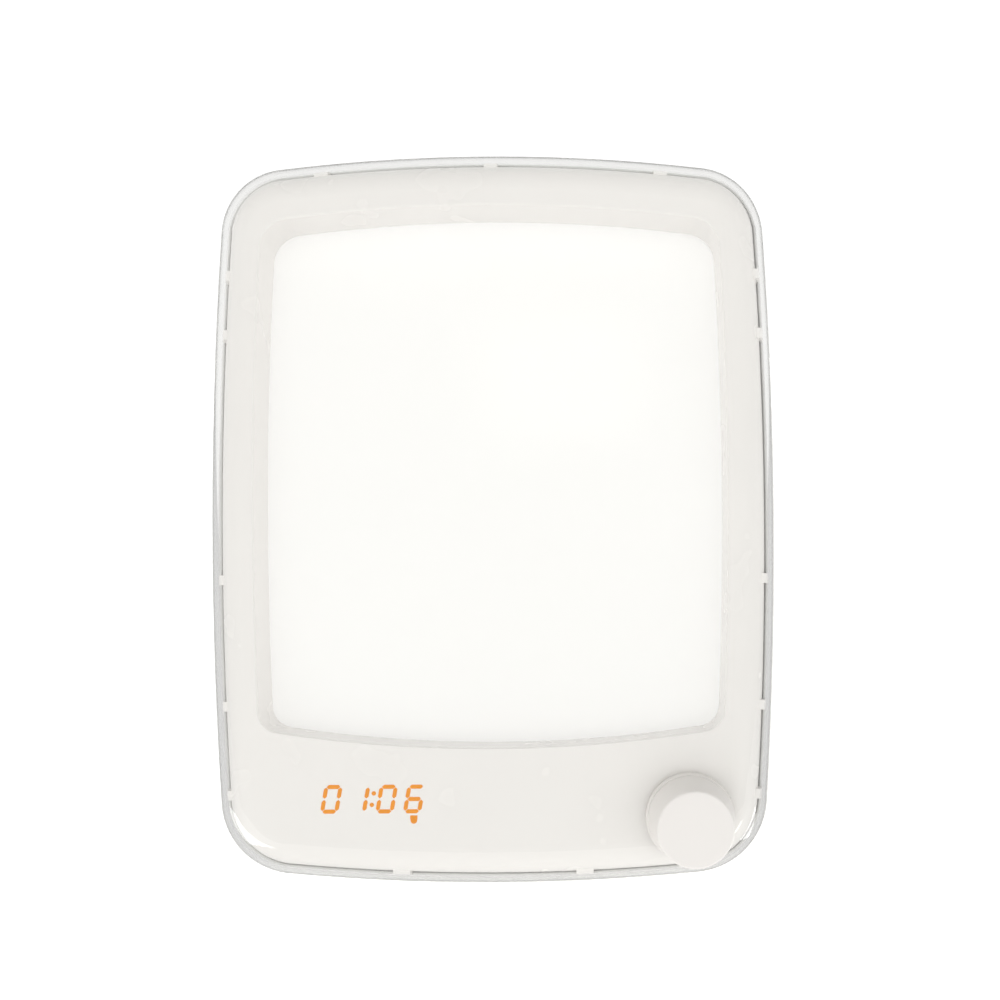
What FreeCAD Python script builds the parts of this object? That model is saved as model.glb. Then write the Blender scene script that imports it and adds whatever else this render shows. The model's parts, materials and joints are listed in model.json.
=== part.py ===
import FreeCAD, Part
import os
from math import cos, degrees, hypot, radians, sin, sqrt, tan

V = FreeCAD.Vector

# All sizes are millimetres. The lamp is drawn upright in its own frame:
# X to the viewer's right, Y from the front skin (y = 0) to the back, Z up.
# At the end every piece is leaned back and set on the desk.

# ---- stance -----------------------------------------------------------------
LEAN = 18.0
STAND_OPEN = 27.6

# ---- body outline (eight tangent arcs) --------------------------------------
BODY_HALF_WIDTH = 106.4
BODY_WIDE_Z = -6.0
BODY_SIDE_RADIUS = 1641.0
BODY_TOP_Z = 137.2
BODY_TOP_RADIUS = 662.8
BODY_TOP_CORNER = 26.8
BODY_LOW_Z = -137.2
BODY_LOW_RADIUS = 808.7
BODY_LOW_CORNER = 29.4

# ---- screen outline, by the width of the bezel round it -----------------------
SCREEN_SIDE_BORDER = 19.3
SCREEN_WIDE_Z = 2.2
SCREEN_SIDE_RADIUS = 1654.0
SCREEN_TOP_BORDER = 22.7
SCREEN_TOP_RADIUS = 571.0
SCREEN_TOP_CORNER = 11.5
SCREEN_LOW_BORDER = 52.7
SCREEN_LOW_RADIUS = 516.0
SCREEN_LOW_CORNER = 8.5

# ---- shells -----------------------------------------------------------------
JOINT_Y = 20.0
BACK_Y = 38.0
COVER_SKIN = 2.0
COVER_WALL = 2.2
COVER_ROUND = 15.0
BEZEL_FACE_GAP = 0.5
BEZEL_SIDE_GAP = 1.6
BEZEL_WALL = 2.2
BEZEL_ROUND = 12.5
BEZEL_TAIL = 2.0
HOUSING_WALL = 2.4
HOUSING_ROUND = 12.0
LIP_LENGTH = 3.0
LIP_ROOT = 3.0
SLIP_GAP = 0.15
SEAL_DEPTH = 4.5

# ---- recess and light stack -------------------------------------------------
RECESS_DEPTH = 14.4
RECESS_WALL = 1.8
RECESS_EDGE = 0.6
LAYER_GAP = 0.05
DIFFUSER_THICK = 2.0
DIFFUSER_MARGIN = 4.0
FILM_THICK = 0.3
GUIDE_THICK = 3.0
GUIDE_MARGIN = 0.5
REFLECTOR_THICK = 0.4
TRAY_THICK = 1.0
TRAY_SLIP = 0.5
TRAY_RIM_GAP = 0.1
STRIP_LENGTH = 144.0
STRIP_WIDTH = 3.0
STRIP_THICK = 0.8
CHIP_COUNT = 24
CHIP_LENGTH = 2.8
CHIP_HEIGHT = 1.2
CHIP_THICK = 0.6
CHIP_GAP = 0.3

# ---- locating ribs on the bezel ---------------------------------------------
RIB_WIDTH = 5.0
SIDE_RIB_WIDTH = 3.6
CLIP_WIDTH = 6.4
RIB_FRONT_Y = 7.0
RIB_FREE_GAP = 0.1
TOP_RIB_PITCH = 63.0
CLIP_HALF_PITCH = 34.0
SIDE_RIBS_BELOW_TOP = (46.6, 68.6)
SIDE_RIBS_ABOVE_LOW = (114.8, 67.8, 34.8)

# ---- knob and encoder -------------------------------------------------------
KNOB_FROM_SIDE = 34.0
KNOB_FROM_LOW = 27.8
COLLAR_BASE_RADIUS = 16.2
COLLAR_TOP_RADIUS = 15.8
COLLAR_HEIGHT = 2.0
COLLAR_BORE = 8.6
COLLAR_SPIGOT = 10.0
COLLAR_SKIRT = 3.0
PRESS_TRAVEL = 0.6
KNOB_FLOAT = 0.9
KNOB_BASE_RADIUS = 15.5
KNOB_CAP_RADIUS = 13.3
KNOB_REACH = 18.2
KNOB_EDGE = 0.8
KNOB_WALL = 1.8
KNOB_CAP_THICK = 2.2
HUB_RADIUS = 5.0
HUB_LIFT = 1.0
SHAFT_RADIUS = 3.0
SHAFT_FLAT = 1.5
SHAFT_FIT = 0.05
SHAFT_KEY_FIT = 0.03
BUSHING_RADIUS = 3.5
BUSHING_LENGTH = 6.4
NUT_RADIUS = 5.4
NUT_THICK = 1.8
ENCODER_SIDE = 12.0
ENCODER_DEPTH = 6.2
PLUNGER_RADIUS = 2.6
PLUNGER_THICK = 0.9

# ---- control board and what it carries --------------------------------------
BOARD_FROM_LEFT = 28.1
BOARD_FROM_RIGHT = 25.7
BOARD_FROM_LOW = 16.3
BOARD_HEIGHT = 30.0
BOARD_THICK = 1.6
BOARD_CORNER = 2.0
POST_INSET = 6.0
POST_FROM_KNOB = 22.7
POST_FROM_EDGE = 5.0
DISPLAY_FROM_SIDE = 64.0
DISPLAY_FROM_LOW = 34.1
DISPLAY_WIDTH = 42.0
DISPLAY_HEIGHT = 15.0
WINDOW_THICK = 0.8
DISPLAY_FACE_GAP = 0.6
SEGMENT_THICK = 0.3
DIGIT_HEIGHT = 10.3
DIGIT_WIDTH = 6.2
DIGIT_BAR = 1.3
DIGIT_BAR_GAP = 0.35
DIGIT_PITCH = 10.1
DIGIT_SLANT = 10.0
DOT_RADIUS = 0.8
DOT_RISE = 2.1
COMPONENT_ROW_DROP = 13.5
COMPONENT_GAP = 3.0
COIL_RADIUS = 5.5
COIL_HEIGHT = 4.6
COIL_FLANGE = 1.2
CAP_RADIUS = 4.0
CAP_HEIGHT = 8.5
CHIP_FROM_DISPLAY = 16.5
CHIP_SIDE = 9.0
CHIP_BODY = 1.4
PLUG_WIDTH = 8.0
PLUG_DEPTH = 5.0
PLUG_HEIGHT = 5.0
LED_PLUG_FROM_POST = 10.0
LED_PLUG_DROP = 6.5
TRAY_PLUG_RISE = 27.0

# ---- fasteners, placed from the body's sides, top and bottom ------------------
TOP_SCREW_INSET = (44.4, 16.4)
LOW_SCREW_INSET = (18.4, 28.8)
BOSS_RADIUS = 3.6
BOSS_WALL = 1.2
BOSS_SPLIT_Y = 24.0
M3_RADIUS = 1.45
M3_HOLE = 1.5
M3_HOLE_DEPTH = 14.0
M3_HEAD_RADIUS = 2.8
M3_HEAD_THICK = 2.0
M3_GRIP = 5.4
SINK_RADIUS = 3.05
SINK_DEPTH = 3.4
POST_RADIUS = 2.8
M25_RADIUS = 1.2
M25_HOLE = 1.25
M25_HOLE_DEPTH = 9.0
M25_HEAD_RADIUS = 2.2
M25_HEAD_THICK = 1.5
M25_LENGTH = 6.5
TRAY_TOP_POST_INSET = (70.4, 14.1)
TRAY_LOW_POST_INSET = (21.4, 42.8)
TAB_WIDTH = 8.0
TAB_REACH = 4.0
TAB_ROOT = 5.0
SOCKET_RADIUS = 1.1
SOCKET_DEPTH = 1.1

# ---- power inlet ------------------------------------------------------------
JACK_FROM_SIDE = 36.4
JACK_FROM_LOW = 25.8
JACK_PLUG_GAP = 24.0
JACK_RADIUS = 3.95
JACK_HOLE_FIT = 0.05
JACK_FLANGE_RADIUS = 5.6
JACK_FLANGE_THICK = 1.2
JACK_LENGTH = 12.5
JACK_BORE = 2.8
JACK_BORE_DEPTH = 9.5
JACK_PIN_RADIUS = 1.05
JACK_NUT_RADIUS = 5.5
JACK_NUT_THICK = 2.2
LEAD_RADIUS = 1.2
LEAD_BEND_SHARE = 0.45

# ---- vents ------------------------------------------------------------------
VENT_COUNT = 11
VENT_PITCH = 8.0
VENT_WIDTH = 3.0
VENT_LENGTH = 26.0
VENT_FROM_TOP = 36.6

# ---- fold-out stand ---------------------------------------------------------
HINGE_Z = 40.0
HINGE_OUT = 3.2
LANDING_DEPTH = 0.8
LANDING_MARGIN = 1.5
LEG_TOP_HALF = 30.0
LEG_FLARE = 7.0
LEG_THICK = 5.6
LEG_SKIN = 2.0
LEG_WALL = 2.2
LEG_CORNER = 6.0
LEG_EDGE = 1.4
LEG_RIB_COUNT = 4
KNUCKLE_RADIUS = 3.6
LUG_RADIUS = 4.8
LUG_WIDTH = 6.0
WASHER_THICK = 0.7
WASHER_RADIUS = 3.4
WASHER_SLIP = 0.25
PIN_RADIUS = 1.5
PIN_RUN_FIT = 0.06
HEEL_HEIGHT = 9.0
HEEL_INSET = 6.0
HEEL_GAP = 0.2
PAD_RADIUS = 3.6
PAD_INSET = 3.0
PAD_FLAT = 0.5
PAD_CORE = 1.6

# ---- front foot -------------------------------------------------------------
FOOT_HALF = 42.0
FOOT_FRONT = 3.0
FOOT_REAR = 8.0
FOOT_PROUD = 1.4
FOOT_BLOCK = 7.0
FOOT_CORNER = 3.0

# ---- how far cutting shapes run past a skin ------------------------------------
PAST = 9.0


class Outline:
    """Bulging four-sided outline: two side arcs, a top and a bottom arc and four
    corner arcs, all tangent. An inset keeps the centres and shrinks the radii."""

    def __init__(self, half, wide_z, side_r, top_z, top_r, top_corner,
                 low_z, low_r, low_corner):
        self.half = half
        self.wide_z = wide_z
        self.side_r = side_r
        self.side_c = (half - side_r, wide_z)
        self.ends = []
        for edge_z, arc_r, corner, up in ((top_z, top_r, top_corner, 1),
                                          (low_z, low_r, low_corner, -1)):
            centre = (0.0, edge_z - up * arc_r)
            corner_c = meet(self.side_c, side_r - corner, centre, arc_r - corner)
            self.ends.append((centre, arc_r, corner_c, corner, edge_z, up))

    def end_points(self, end, inset):
        centre, arc_r, corner_c, corner, edge_z, up = end
        on_arc = along(centre, corner_c, arc_r - inset)
        on_side = along(self.side_c, corner_c, self.side_r - inset)
        bend = ((on_arc[0] + on_side[0]) / 2, (on_arc[1] + on_side[1]) / 2)
        middle = along(corner_c, bend, corner - inset)
        return on_arc, middle, on_side, (0.0, edge_z - up * inset)

    def wire(self, inset, y):
        top_a, top_m, top_s, top_0 = self.end_points(self.ends[0], inset)
        low_a, low_m, low_s, low_0 = self.end_points(self.ends[1], inset)
        right = (self.half - inset, self.wide_z)
        loops = ((flip(top_a), top_0, top_a), (top_a, top_m, top_s), (top_s, right, low_s),
                 (low_s, low_m, low_a), (low_a, low_0, flip(low_a)),
                 (flip(low_a), flip(low_m), flip(low_s)),
                 (flip(low_s), flip(right), flip(top_s)),
                 (flip(top_s), flip(top_m), flip(top_a)))
        edges = []
        for start, middle, end in loops:
            points = [V(p[0], y, p[1]) for p in (start, middle, end)]
            edges.append(Part.Arc(*points).toShape())
        return Part.Wire(edges)

    def arcs(self, inset):
        """Centre, start and end of each arc, clockwise as seen from the front."""
        top_a, _, top_s, _ = self.end_points(self.ends[0], inset)
        low_a, _, low_s, _ = self.end_points(self.ends[1], inset)
        top_c, low_c = self.ends[0][0], self.ends[1][0]
        top_k, low_k = self.ends[0][2], self.ends[1][2]
        return ((top_c, flip(top_a), top_a), (top_k, top_a, top_s), (self.side_c, top_s, low_s),
                (low_k, low_s, low_a), (low_c, low_a, flip(low_a)),
                (flip(low_k), flip(low_a), flip(low_s)),
                (flip(self.side_c), flip(low_s), flip(top_s)),
                (flip(top_k), flip(top_s), flip(top_a)))

    def swept(self, profile):
        """Solid with the given edge profile carried round the outline. The profile runs
        from the front face to the rear face as runs of 2 or 3 points (outset, y)."""
        faces = [Part.Face(self.wire(-profile[0][0][0], profile[0][0][1])),
                 Part.Face(self.wire(-profile[-1][-1][0], profile[-1][-1][1]))]
        for centre, start, end in self.arcs(0.0):
            axis_point = V(centre[0], 0, centre[1])
            first = V(start[0] - centre[0], 0, start[1] - centre[1])
            last = V(end[0] - centre[0], 0, end[1] - centre[1])
            turn = degrees(first.getAngle(last))
            out = V(first).normalize()
            for run in profile:
                points = [axis_point + first + out * p[0] + V(0, p[1], 0) for p in run]
                edge = (Part.makeLine(*points) if len(points) == 2
                        else Part.Arc(*points).toShape())
                faces.append(edge.revolve(axis_point, V(0, 1, 0), turn))
        shell = Part.makeCompound(faces)
        shell.sewShape()
        body = Part.Solid(shell.Shells[0])
        if body.Volume < 0:
            body.reverse()
        return body

    def solid(self, inset, y0, y1, front_round=0.0, rear_round=0.0):
        profile = []
        if front_round:
            profile.append(quarter(-inset - front_round, y0, -inset, y0 + front_round, True))
        profile.append(((-inset, y0 + front_round), (-inset, y1 - rear_round)))
        if rear_round:
            profile.append(quarter(-inset, y1 - rear_round, -inset - rear_round, y1, False))
        return self.swept(profile)

    def ring(self, outer_inset, inner_inset, y0, y1):
        return self.solid(outer_inset, y0, y1).cut(self.solid(inner_inset, y0 - 1, y1 + 1))


def meet(c0, r0, c1, r1):
    """Right-hand crossing of two circles."""
    dx, dz = c1[0] - c0[0], c1[1] - c0[1]
    gap = hypot(dx, dz)
    reach = (r0 ** 2 - r1 ** 2 + gap ** 2) / (2 * gap)
    rise = sqrt(r0 ** 2 - reach ** 2)
    base = (c0[0] + reach * dx / gap, c0[1] + reach * dz / gap)
    crossings = [(base[0] + s * rise * dz / gap, base[1] - s * rise * dx / gap) for s in (1, -1)]
    return max(crossings)


def along(start, through, length):
    dx, dz = through[0] - start[0], through[1] - start[1]
    gap = hypot(dx, dz)
    return (start[0] + length * dx / gap, start[1] + length * dz / gap)


def flip(point):
    return (-point[0], point[1])


def quarter(u0, y0, u1, y1, centre_at_start):
    """Three points on a quarter round. Its centre shares the outset of one end."""
    if centre_at_start:
        centre = (u0, y1)
    else:
        centre = (u1, y0)
    radius = abs(u1 - u0)
    bend = ((u0 + u1) / 2, (y0 + y1) / 2)
    return ((u0, y0), along(centre, bend, radius), (u1, y1))


def edges_at(shape, y, keep=None):
    """Edges that lie in the plane at depth y."""
    found = []
    for edge in shape.Edges:
        middle = edge.valueAt((edge.FirstParameter + edge.LastParameter) / 2)
        heights = [middle.y] + [vertex.Point.y for vertex in edge.Vertexes]
        if max(abs(h - y) for h in heights) < 1e-4 and (keep is None or keep(middle)):
            found.append(edge)
    return found


def rod(x, z, radius, y0, y1):
    return Part.makeCylinder(radius, y1 - y0, V(x, y0, z), V(0, 1, 0))


def cone(x, z, r0, r1, y0, y1):
    return Part.makeCone(r0, r1, y1 - y0, V(x, y0, z), V(0, 1, 0))


def tube(x, z, outer, inner, y0, y1):
    return rod(x, z, outer, y0, y1).cut(rod(x, z, inner, y0 - 1, y1 + 1))


def bar(radius, x0, x1, y, z):
    """Round bar along X."""
    return Part.makeCylinder(radius, x1 - x0, V(x0, y, z), V(1, 0, 0))


def block(x0, x1, y0, y1, z0, z1):
    return Part.makeBox(x1 - x0, y1 - y0, z1 - z0, V(x0, y0, z0))


def hexagon(x, z, radius, y0, y1):
    corners = [V(x + radius * cos(radians(60 * k)), y0, z + radius * sin(radians(60 * k)))
               for k in range(7)]
    return Part.Face(Part.makePolygon(corners)).extrude(V(0, y1 - y0, 0))


def plate(points, y0, y1):
    """Flat plate from corner points (x, z)."""
    corners = [V(x, y0, z) for x, z in points]
    return Part.Face(Part.makePolygon(corners + corners[:1])).extrude(V(0, y1 - y0, 0))


def round_upright(body, radius, keep=None):
    """Round the edges that run along Y."""
    edges = [e for e in body.Edges
             if abs(e.tangentAt(e.FirstParameter).y) > 0.999 and (keep is None or keep(e))]
    return body.makeFillet(radius, edges)


def group(shapes):
    return Part.makeCompound(list(shapes))


def both_sides(shape):
    return (shape, shape.mirror(V(0, 0, 0), V(1, 0, 0)))


def screw(x, z, head_y, inward, shank_r, length, head_r, head_thick):
    """Pan-head screw. Its head sits at head_y and the shank runs inward (+1 or -1)."""
    def span(a, b):
        return (head_y + inward * a, head_y + inward * b)
    head = rod(x, z, head_r, *sorted(span(-head_thick, 0)))
    shank = rod(x, z, shank_r, *sorted(span(0, length)))
    socket = hexagon(x, z, SOCKET_RADIUS, *sorted(span(-head_thick - 1, SOCKET_DEPTH - head_thick)))
    rim = edges_at(head, head_y - inward * head_thick)
    head = head.makeFillet(head_thick * 0.35, rim)
    return head.fuse(shank).removeSplitter().cut(socket)


def lead(points, radius):
    """Round lead through points, its straight runs joined by tangent arcs."""
    edges = []
    start = points[0]
    for before, corner, after in zip(points, points[1:], points[2:]):
        run_in = corner - before
        run_out = after - corner
        setback = LEAD_BEND_SHARE * min(run_in.Length, run_out.Length)
        half_turn = run_in.getAngle(run_out) / 2
        bend_r = setback / tan(half_turn)
        unit_in = V(run_in).normalize()
        unit_out = V(run_out).normalize()
        inward = (unit_out - unit_in).normalize()
        first = corner - unit_in * setback
        last = corner + unit_out * setback
        middle = corner + inward * (hypot(bend_r, setback) - bend_r)
        edges.append(Part.makeLine(start, first))
        edges.append(Part.Arc(first, middle, last).toShape())
        start = last
    edges.append(Part.makeLine(start, points[-1]))
    path = Part.Wire(edges)
    section = Part.Wire(Part.makeCircle(radius, points[0], points[1] - points[0]))
    return path.makePipeShell([section], True, True)


def from_top(inset):
    """Point (x, z) at a distance from the body's right side and its top."""
    return (BODY_HALF_WIDTH - inset[0], BODY_TOP_Z - inset[1])


def from_low(inset):
    """Point (x, z) at a distance from the body's right side and its bottom."""
    return (BODY_HALF_WIDTH - inset[0], BODY_LOW_Z + inset[1])


# ---- derived outlines and places ----------------------------------------------
SCREEN_HALF_WIDTH = BODY_HALF_WIDTH - SCREEN_SIDE_BORDER
SCREEN_TOP_Z = BODY_TOP_Z - SCREEN_TOP_BORDER
SCREEN_LOW_Z = BODY_LOW_Z + SCREEN_LOW_BORDER
SCREEN_MID_Z = (SCREEN_TOP_Z + SCREEN_LOW_Z) / 2
BODY = Outline(BODY_HALF_WIDTH, BODY_WIDE_Z, BODY_SIDE_RADIUS, BODY_TOP_Z, BODY_TOP_RADIUS,
               BODY_TOP_CORNER, BODY_LOW_Z, BODY_LOW_RADIUS, BODY_LOW_CORNER)
SCREEN = Outline(SCREEN_HALF_WIDTH, SCREEN_WIDE_Z, SCREEN_SIDE_RADIUS, SCREEN_TOP_Z,
                 SCREEN_TOP_RADIUS, SCREEN_TOP_CORNER, SCREEN_LOW_Z, SCREEN_LOW_RADIUS,
                 SCREEN_LOW_CORNER)
TRAY_MARGIN = DIFFUSER_MARGIN + TRAY_SLIP + TRAY_THICK
STRIP_X = SCREEN_HALF_WIDTH + GUIDE_MARGIN + CHIP_GAP + CHIP_THICK
SIDE_RIB_Z = ([BODY_TOP_Z - drop for drop in SIDE_RIBS_BELOW_TOP]
              + [BODY_LOW_Z + rise for rise in SIDE_RIBS_ABOVE_LOW])
TOP_SCREW = from_top(TOP_SCREW_INSET)
LOW_SCREW = from_low(LOW_SCREW_INSET)
TRAY_TOP_POST = from_top(TRAY_TOP_POST_INSET)
TRAY_LOW_POST = from_low(TRAY_LOW_POST_INSET)
KNOB_X, KNOB_Z = from_low((KNOB_FROM_SIDE, KNOB_FROM_LOW))
JACK_X = JACK_FROM_SIDE - BODY_HALF_WIDTH
JACK_Z = BODY_LOW_Z + JACK_FROM_LOW
DISPLAY_X = DISPLAY_FROM_SIDE - BODY_HALF_WIDTH
DISPLAY_Z = BODY_LOW_Z + DISPLAY_FROM_LOW
BOARD_X0 = BOARD_FROM_LEFT - BODY_HALF_WIDTH
BOARD_X1 = BODY_HALF_WIDTH - BOARD_FROM_RIGHT
BOARD_Z0 = BODY_LOW_Z + BOARD_FROM_LOW
BOARD_Z1 = BOARD_Z0 + BOARD_HEIGHT
BOARD_POST_X = (BOARD_X0 + POST_INSET, KNOB_X - POST_FROM_KNOB)
BOARD_POST_Z = (BOARD_Z1 - POST_FROM_EDGE, BOARD_Z0 + POST_FROM_EDGE)
LED_PLUG_X = BOARD_POST_X[1] - LED_PLUG_FROM_POST
LED_PLUG_Z = BOARD_Z1 - LED_PLUG_DROP
TRAY_PLUG_Z = SCREEN_LOW_Z + TRAY_PLUG_RISE
COMPONENT_Z = BOARD_Z1 - COMPONENT_ROW_DROP
CAP_X = LED_PLUG_X - PLUG_WIDTH / 2 - COMPONENT_GAP - CAP_RADIUS
COIL_X = CAP_X - CAP_RADIUS - COMPONENT_GAP - COIL_RADIUS
CHIP_X = DISPLAY_X + CHIP_FROM_DISPLAY
JACK_PLUG_X = JACK_X + JACK_PLUG_GAP
VENT_Z1 = BODY_TOP_Z - VENT_FROM_TOP
LEG_LOW_HALF = LEG_TOP_HALF + LEG_FLARE
HEEL_HALF = LEG_TOP_HALF - HEEL_INSET
PAD_HALF = LEG_LOW_HALF - PAD_INSET

# ---- derived depths ---------------------------------------------------------
BEZEL_Y = COVER_SKIN + BEZEL_FACE_GAP
BEZEL_INNER_Y = BEZEL_Y + BEZEL_WALL
BEZEL_INSET = COVER_WALL + BEZEL_SIDE_GAP
DIFFUSER_Y = BEZEL_Y + RECESS_DEPTH
FILM_Y = DIFFUSER_Y + DIFFUSER_THICK + LAYER_GAP
GUIDE_Y = FILM_Y + FILM_THICK + LAYER_GAP
REFLECTOR_Y = GUIDE_Y + GUIDE_THICK + LAYER_GAP
TRAY_Y = REFLECTOR_Y + REFLECTOR_THICK + LAYER_GAP
TRAY_BACK_Y = TRAY_Y + TRAY_THICK
LIP_INNER = BEZEL_INSET - SLIP_GAP
LIP_Y = JOINT_Y - LIP_LENGTH
SEAL_Y = LIP_Y - LAYER_GAP - SEAL_DEPTH
ENCODER_Y = BEZEL_INNER_Y + LAYER_GAP
BOARD_Y = ENCODER_Y + ENCODER_DEPTH + LAYER_GAP
BOARD_BACK_Y = BOARD_Y + BOARD_THICK
DISPLAY_Y = BEZEL_Y + WINDOW_THICK + DISPLAY_FACE_GAP + SEGMENT_THICK
M3_LENGTH = BACK_Y - SINK_DEPTH - BOSS_SPLIT_Y + M3_GRIP
LANDING_Y = BACK_Y - LANDING_DEPTH
HINGE_Y = BACK_Y + HINGE_OUT
KNOB_BASE_Y = -COLLAR_HEIGHT - KNOB_FLOAT
KNOB_CAP_Y = -KNOB_REACH
SHAFT_END_Y = KNOB_CAP_Y + KNOB_CAP_THICK + 0.4
PLUNGER_Y = ENCODER_Y + ENCODER_DEPTH - PLUNGER_THICK - PRESS_TRAVEL - 0.6
PIN_HALF = LEG_TOP_HALF + 2 * WASHER_SLIP + WASHER_THICK + LUG_WIDTH

# ---- stance of the finished lamp --------------------------------------------
CONTACT_Y = BACK_Y - HOUSING_ROUND + HOUSING_ROUND * sin(radians(LEAN))
CONTACT_Z = BODY_LOW_Z + HOUSING_ROUND - HOUSING_ROUND * cos(radians(LEAN))
lean_turn = FreeCAD.Rotation(V(1, 0, 0), -LEAN)
contact = lean_turn.multVec(V(0, CONTACT_Y, CONTACT_Z)) - V(0, 0, FOOT_PROUD)
STANCE = FreeCAD.Placement(contact * -1, lean_turn)
hinge_world = STANCE.multVec(V(0, HINGE_Y, HINGE_Z))
SPLAY = STAND_OPEN - LEAN
LEG_LENGTH = (hinge_world.z - PAD_RADIUS + PAD_FLAT) / cos(radians(SPLAY))

parts = {}


def stood(shape):
    """Copy of a lamp-frame shape, leaned back and set on the desk."""
    return shape.transformShape(STANCE.toMatrix(), True)


def add(name, shape):
    parts[name] = stood(shape)


# ---- clear cover ------------------------------------------------------------
cover_hollow = BODY.solid(COVER_WALL, COVER_SKIN, JOINT_Y + 1, COVER_ROUND - COVER_WALL)
cover = BODY.solid(0, 0, JOINT_Y, COVER_ROUND).cut(cover_hollow)
cover = cover.cut(rod(KNOB_X, KNOB_Z, COLLAR_SPIGOT + LAYER_GAP, -1, COVER_SKIN + 1))
add("clear_cover", cover)

# ---- front bezel ------------------------------------------------------------
bezel_end = JOINT_Y + BEZEL_TAIL
bezel_block = BODY.solid(BEZEL_INSET, BEZEL_Y, bezel_end, BEZEL_ROUND)
bezel_hollow = BODY.solid(BEZEL_INSET + BEZEL_WALL, BEZEL_INNER_Y, bezel_end + 1,
                          BEZEL_ROUND - BEZEL_WALL)
opening = SCREEN.swept([((RECESS_EDGE, BEZEL_Y - 1), (RECESS_EDGE, BEZEL_Y)),
                        quarter(RECESS_EDGE, BEZEL_Y, 0, BEZEL_Y + RECESS_EDGE, False),
                        ((0, BEZEL_Y + RECESS_EDGE), (0, DIFFUSER_Y + 1))])
bezel = bezel_block.cut(bezel_hollow)
bezel = bezel.fuse(SCREEN.solid(-RECESS_WALL, BEZEL_Y + 1, DIFFUSER_Y - LAYER_GAP)).cut(opening)
bezel = bezel.removeSplitter()

long_block = BODY.solid(BEZEL_INSET + 0.5, BEZEL_Y + 0.5, BOSS_SPLIT_Y, BEZEL_ROUND - 0.5)
bosses = []
boss_holes = []
for side in (-1, 1):
    for x, z in (TOP_SCREW, LOW_SCREW):
        bosses.append(rod(side * x, z, BOSS_RADIUS, BEZEL_Y, BOSS_SPLIT_Y))
        boss_holes.append(rod(side * x, z, M3_HOLE, BOSS_SPLIT_Y - M3_HOLE_DEPTH, BOSS_SPLIT_Y + 1))
    for x, z in (TRAY_TOP_POST, TRAY_LOW_POST):
        bosses.append(rod(side * x, z, POST_RADIUS, BEZEL_Y, TRAY_Y - LAYER_GAP))
        boss_holes.append(rod(side * x, z, M25_HOLE, TRAY_Y - M25_HOLE_DEPTH, TRAY_Y + 1))
for x in BOARD_POST_X:
    for z in BOARD_POST_Z:
        bosses.append(rod(x, z, POST_RADIUS, BEZEL_Y, BOARD_Y - LAYER_GAP))
        boss_holes.append(rod(x, z, M25_HOLE, BEZEL_INNER_Y, BOARD_Y + 1))
bosses = [b.common(long_block) for b in bosses]
bezel = bezel.fuse(bosses).removeSplitter()

free_inset = COVER_WALL + RIB_FREE_GAP
cover_room = BODY.solid(free_inset, COVER_SKIN + RIB_FREE_GAP, JOINT_Y, COVER_ROUND - free_inset)
rib_zone = BODY.solid(free_inset, RIB_FRONT_Y, SEAL_Y - LAYER_GAP).common(cover_room)
rib_zone = rib_zone.cut(BODY.solid(BEZEL_INSET + 0.6, BEZEL_Y + 0.6, JOINT_Y, BEZEL_ROUND - 0.6))
rib_boxes = []
for x in (-TOP_RIB_PITCH, 0, TOP_RIB_PITCH):
    rib_boxes.append(block(x - RIB_WIDTH / 2, x + RIB_WIDTH / 2, 0, JOINT_Y,
                           SCREEN_TOP_Z, BODY_TOP_Z + PAST))
for x in (-CLIP_HALF_PITCH, CLIP_HALF_PITCH):
    rib_boxes.append(block(x - CLIP_WIDTH / 2, x + CLIP_WIDTH / 2, 0, JOINT_Y,
                           BODY_LOW_Z - PAST, BOARD_Z0))
for z in SIDE_RIB_Z:
    z0, z1 = z - SIDE_RIB_WIDTH / 2, z + SIDE_RIB_WIDTH / 2
    rib_boxes += both_sides(block(SCREEN_HALF_WIDTH, BODY_HALF_WIDTH + PAST, 0, JOINT_Y, z0, z1))
ribs = [solid for box in rib_boxes for solid in rib_zone.common(box).Solids]
bezel = bezel.fuse(ribs).removeSplitter()

window = block(DISPLAY_X - DISPLAY_WIDTH / 2 - 0.5, DISPLAY_X + DISPLAY_WIDTH / 2 + 0.5,
               BEZEL_Y + WINDOW_THICK, BEZEL_INNER_Y + 0.5,
               DISPLAY_Z - DISPLAY_HEIGHT / 2 - 0.5, DISPLAY_Z + DISPLAY_HEIGHT / 2 + 0.5)
bezel = bezel.cut(window)
bezel = bezel.cut(rod(KNOB_X, KNOB_Z, BUSHING_RADIUS + 0.1, 0, ENCODER_Y + 1))
for hole in boss_holes:
    bezel = bezel.cut(hole)
add("front_bezel", bezel)

seal = BODY.solid(free_inset, SEAL_Y, SEAL_Y + SEAL_DEPTH).common(cover_room)
add("cover_seal", seal.cut(BODY.solid(BEZEL_INSET - RIB_FREE_GAP, BEZEL_Y - RIB_FREE_GAP, JOINT_Y,
                                      BEZEL_ROUND)))

# ---- light stack behind the recess ------------------------------------------
add("screen_diffuser", SCREEN.solid(-DIFFUSER_MARGIN, DIFFUSER_Y, DIFFUSER_Y + DIFFUSER_THICK))
add("diffuser_film", SCREEN.solid(-DIFFUSER_MARGIN, FILM_Y, FILM_Y + FILM_THICK))
add("light_guide", SCREEN.solid(-GUIDE_MARGIN, GUIDE_Y, GUIDE_Y + GUIDE_THICK))
add("reflector_sheet", SCREEN.solid(-GUIDE_MARGIN, REFLECTOR_Y, REFLECTOR_Y + REFLECTOR_THICK))

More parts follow.
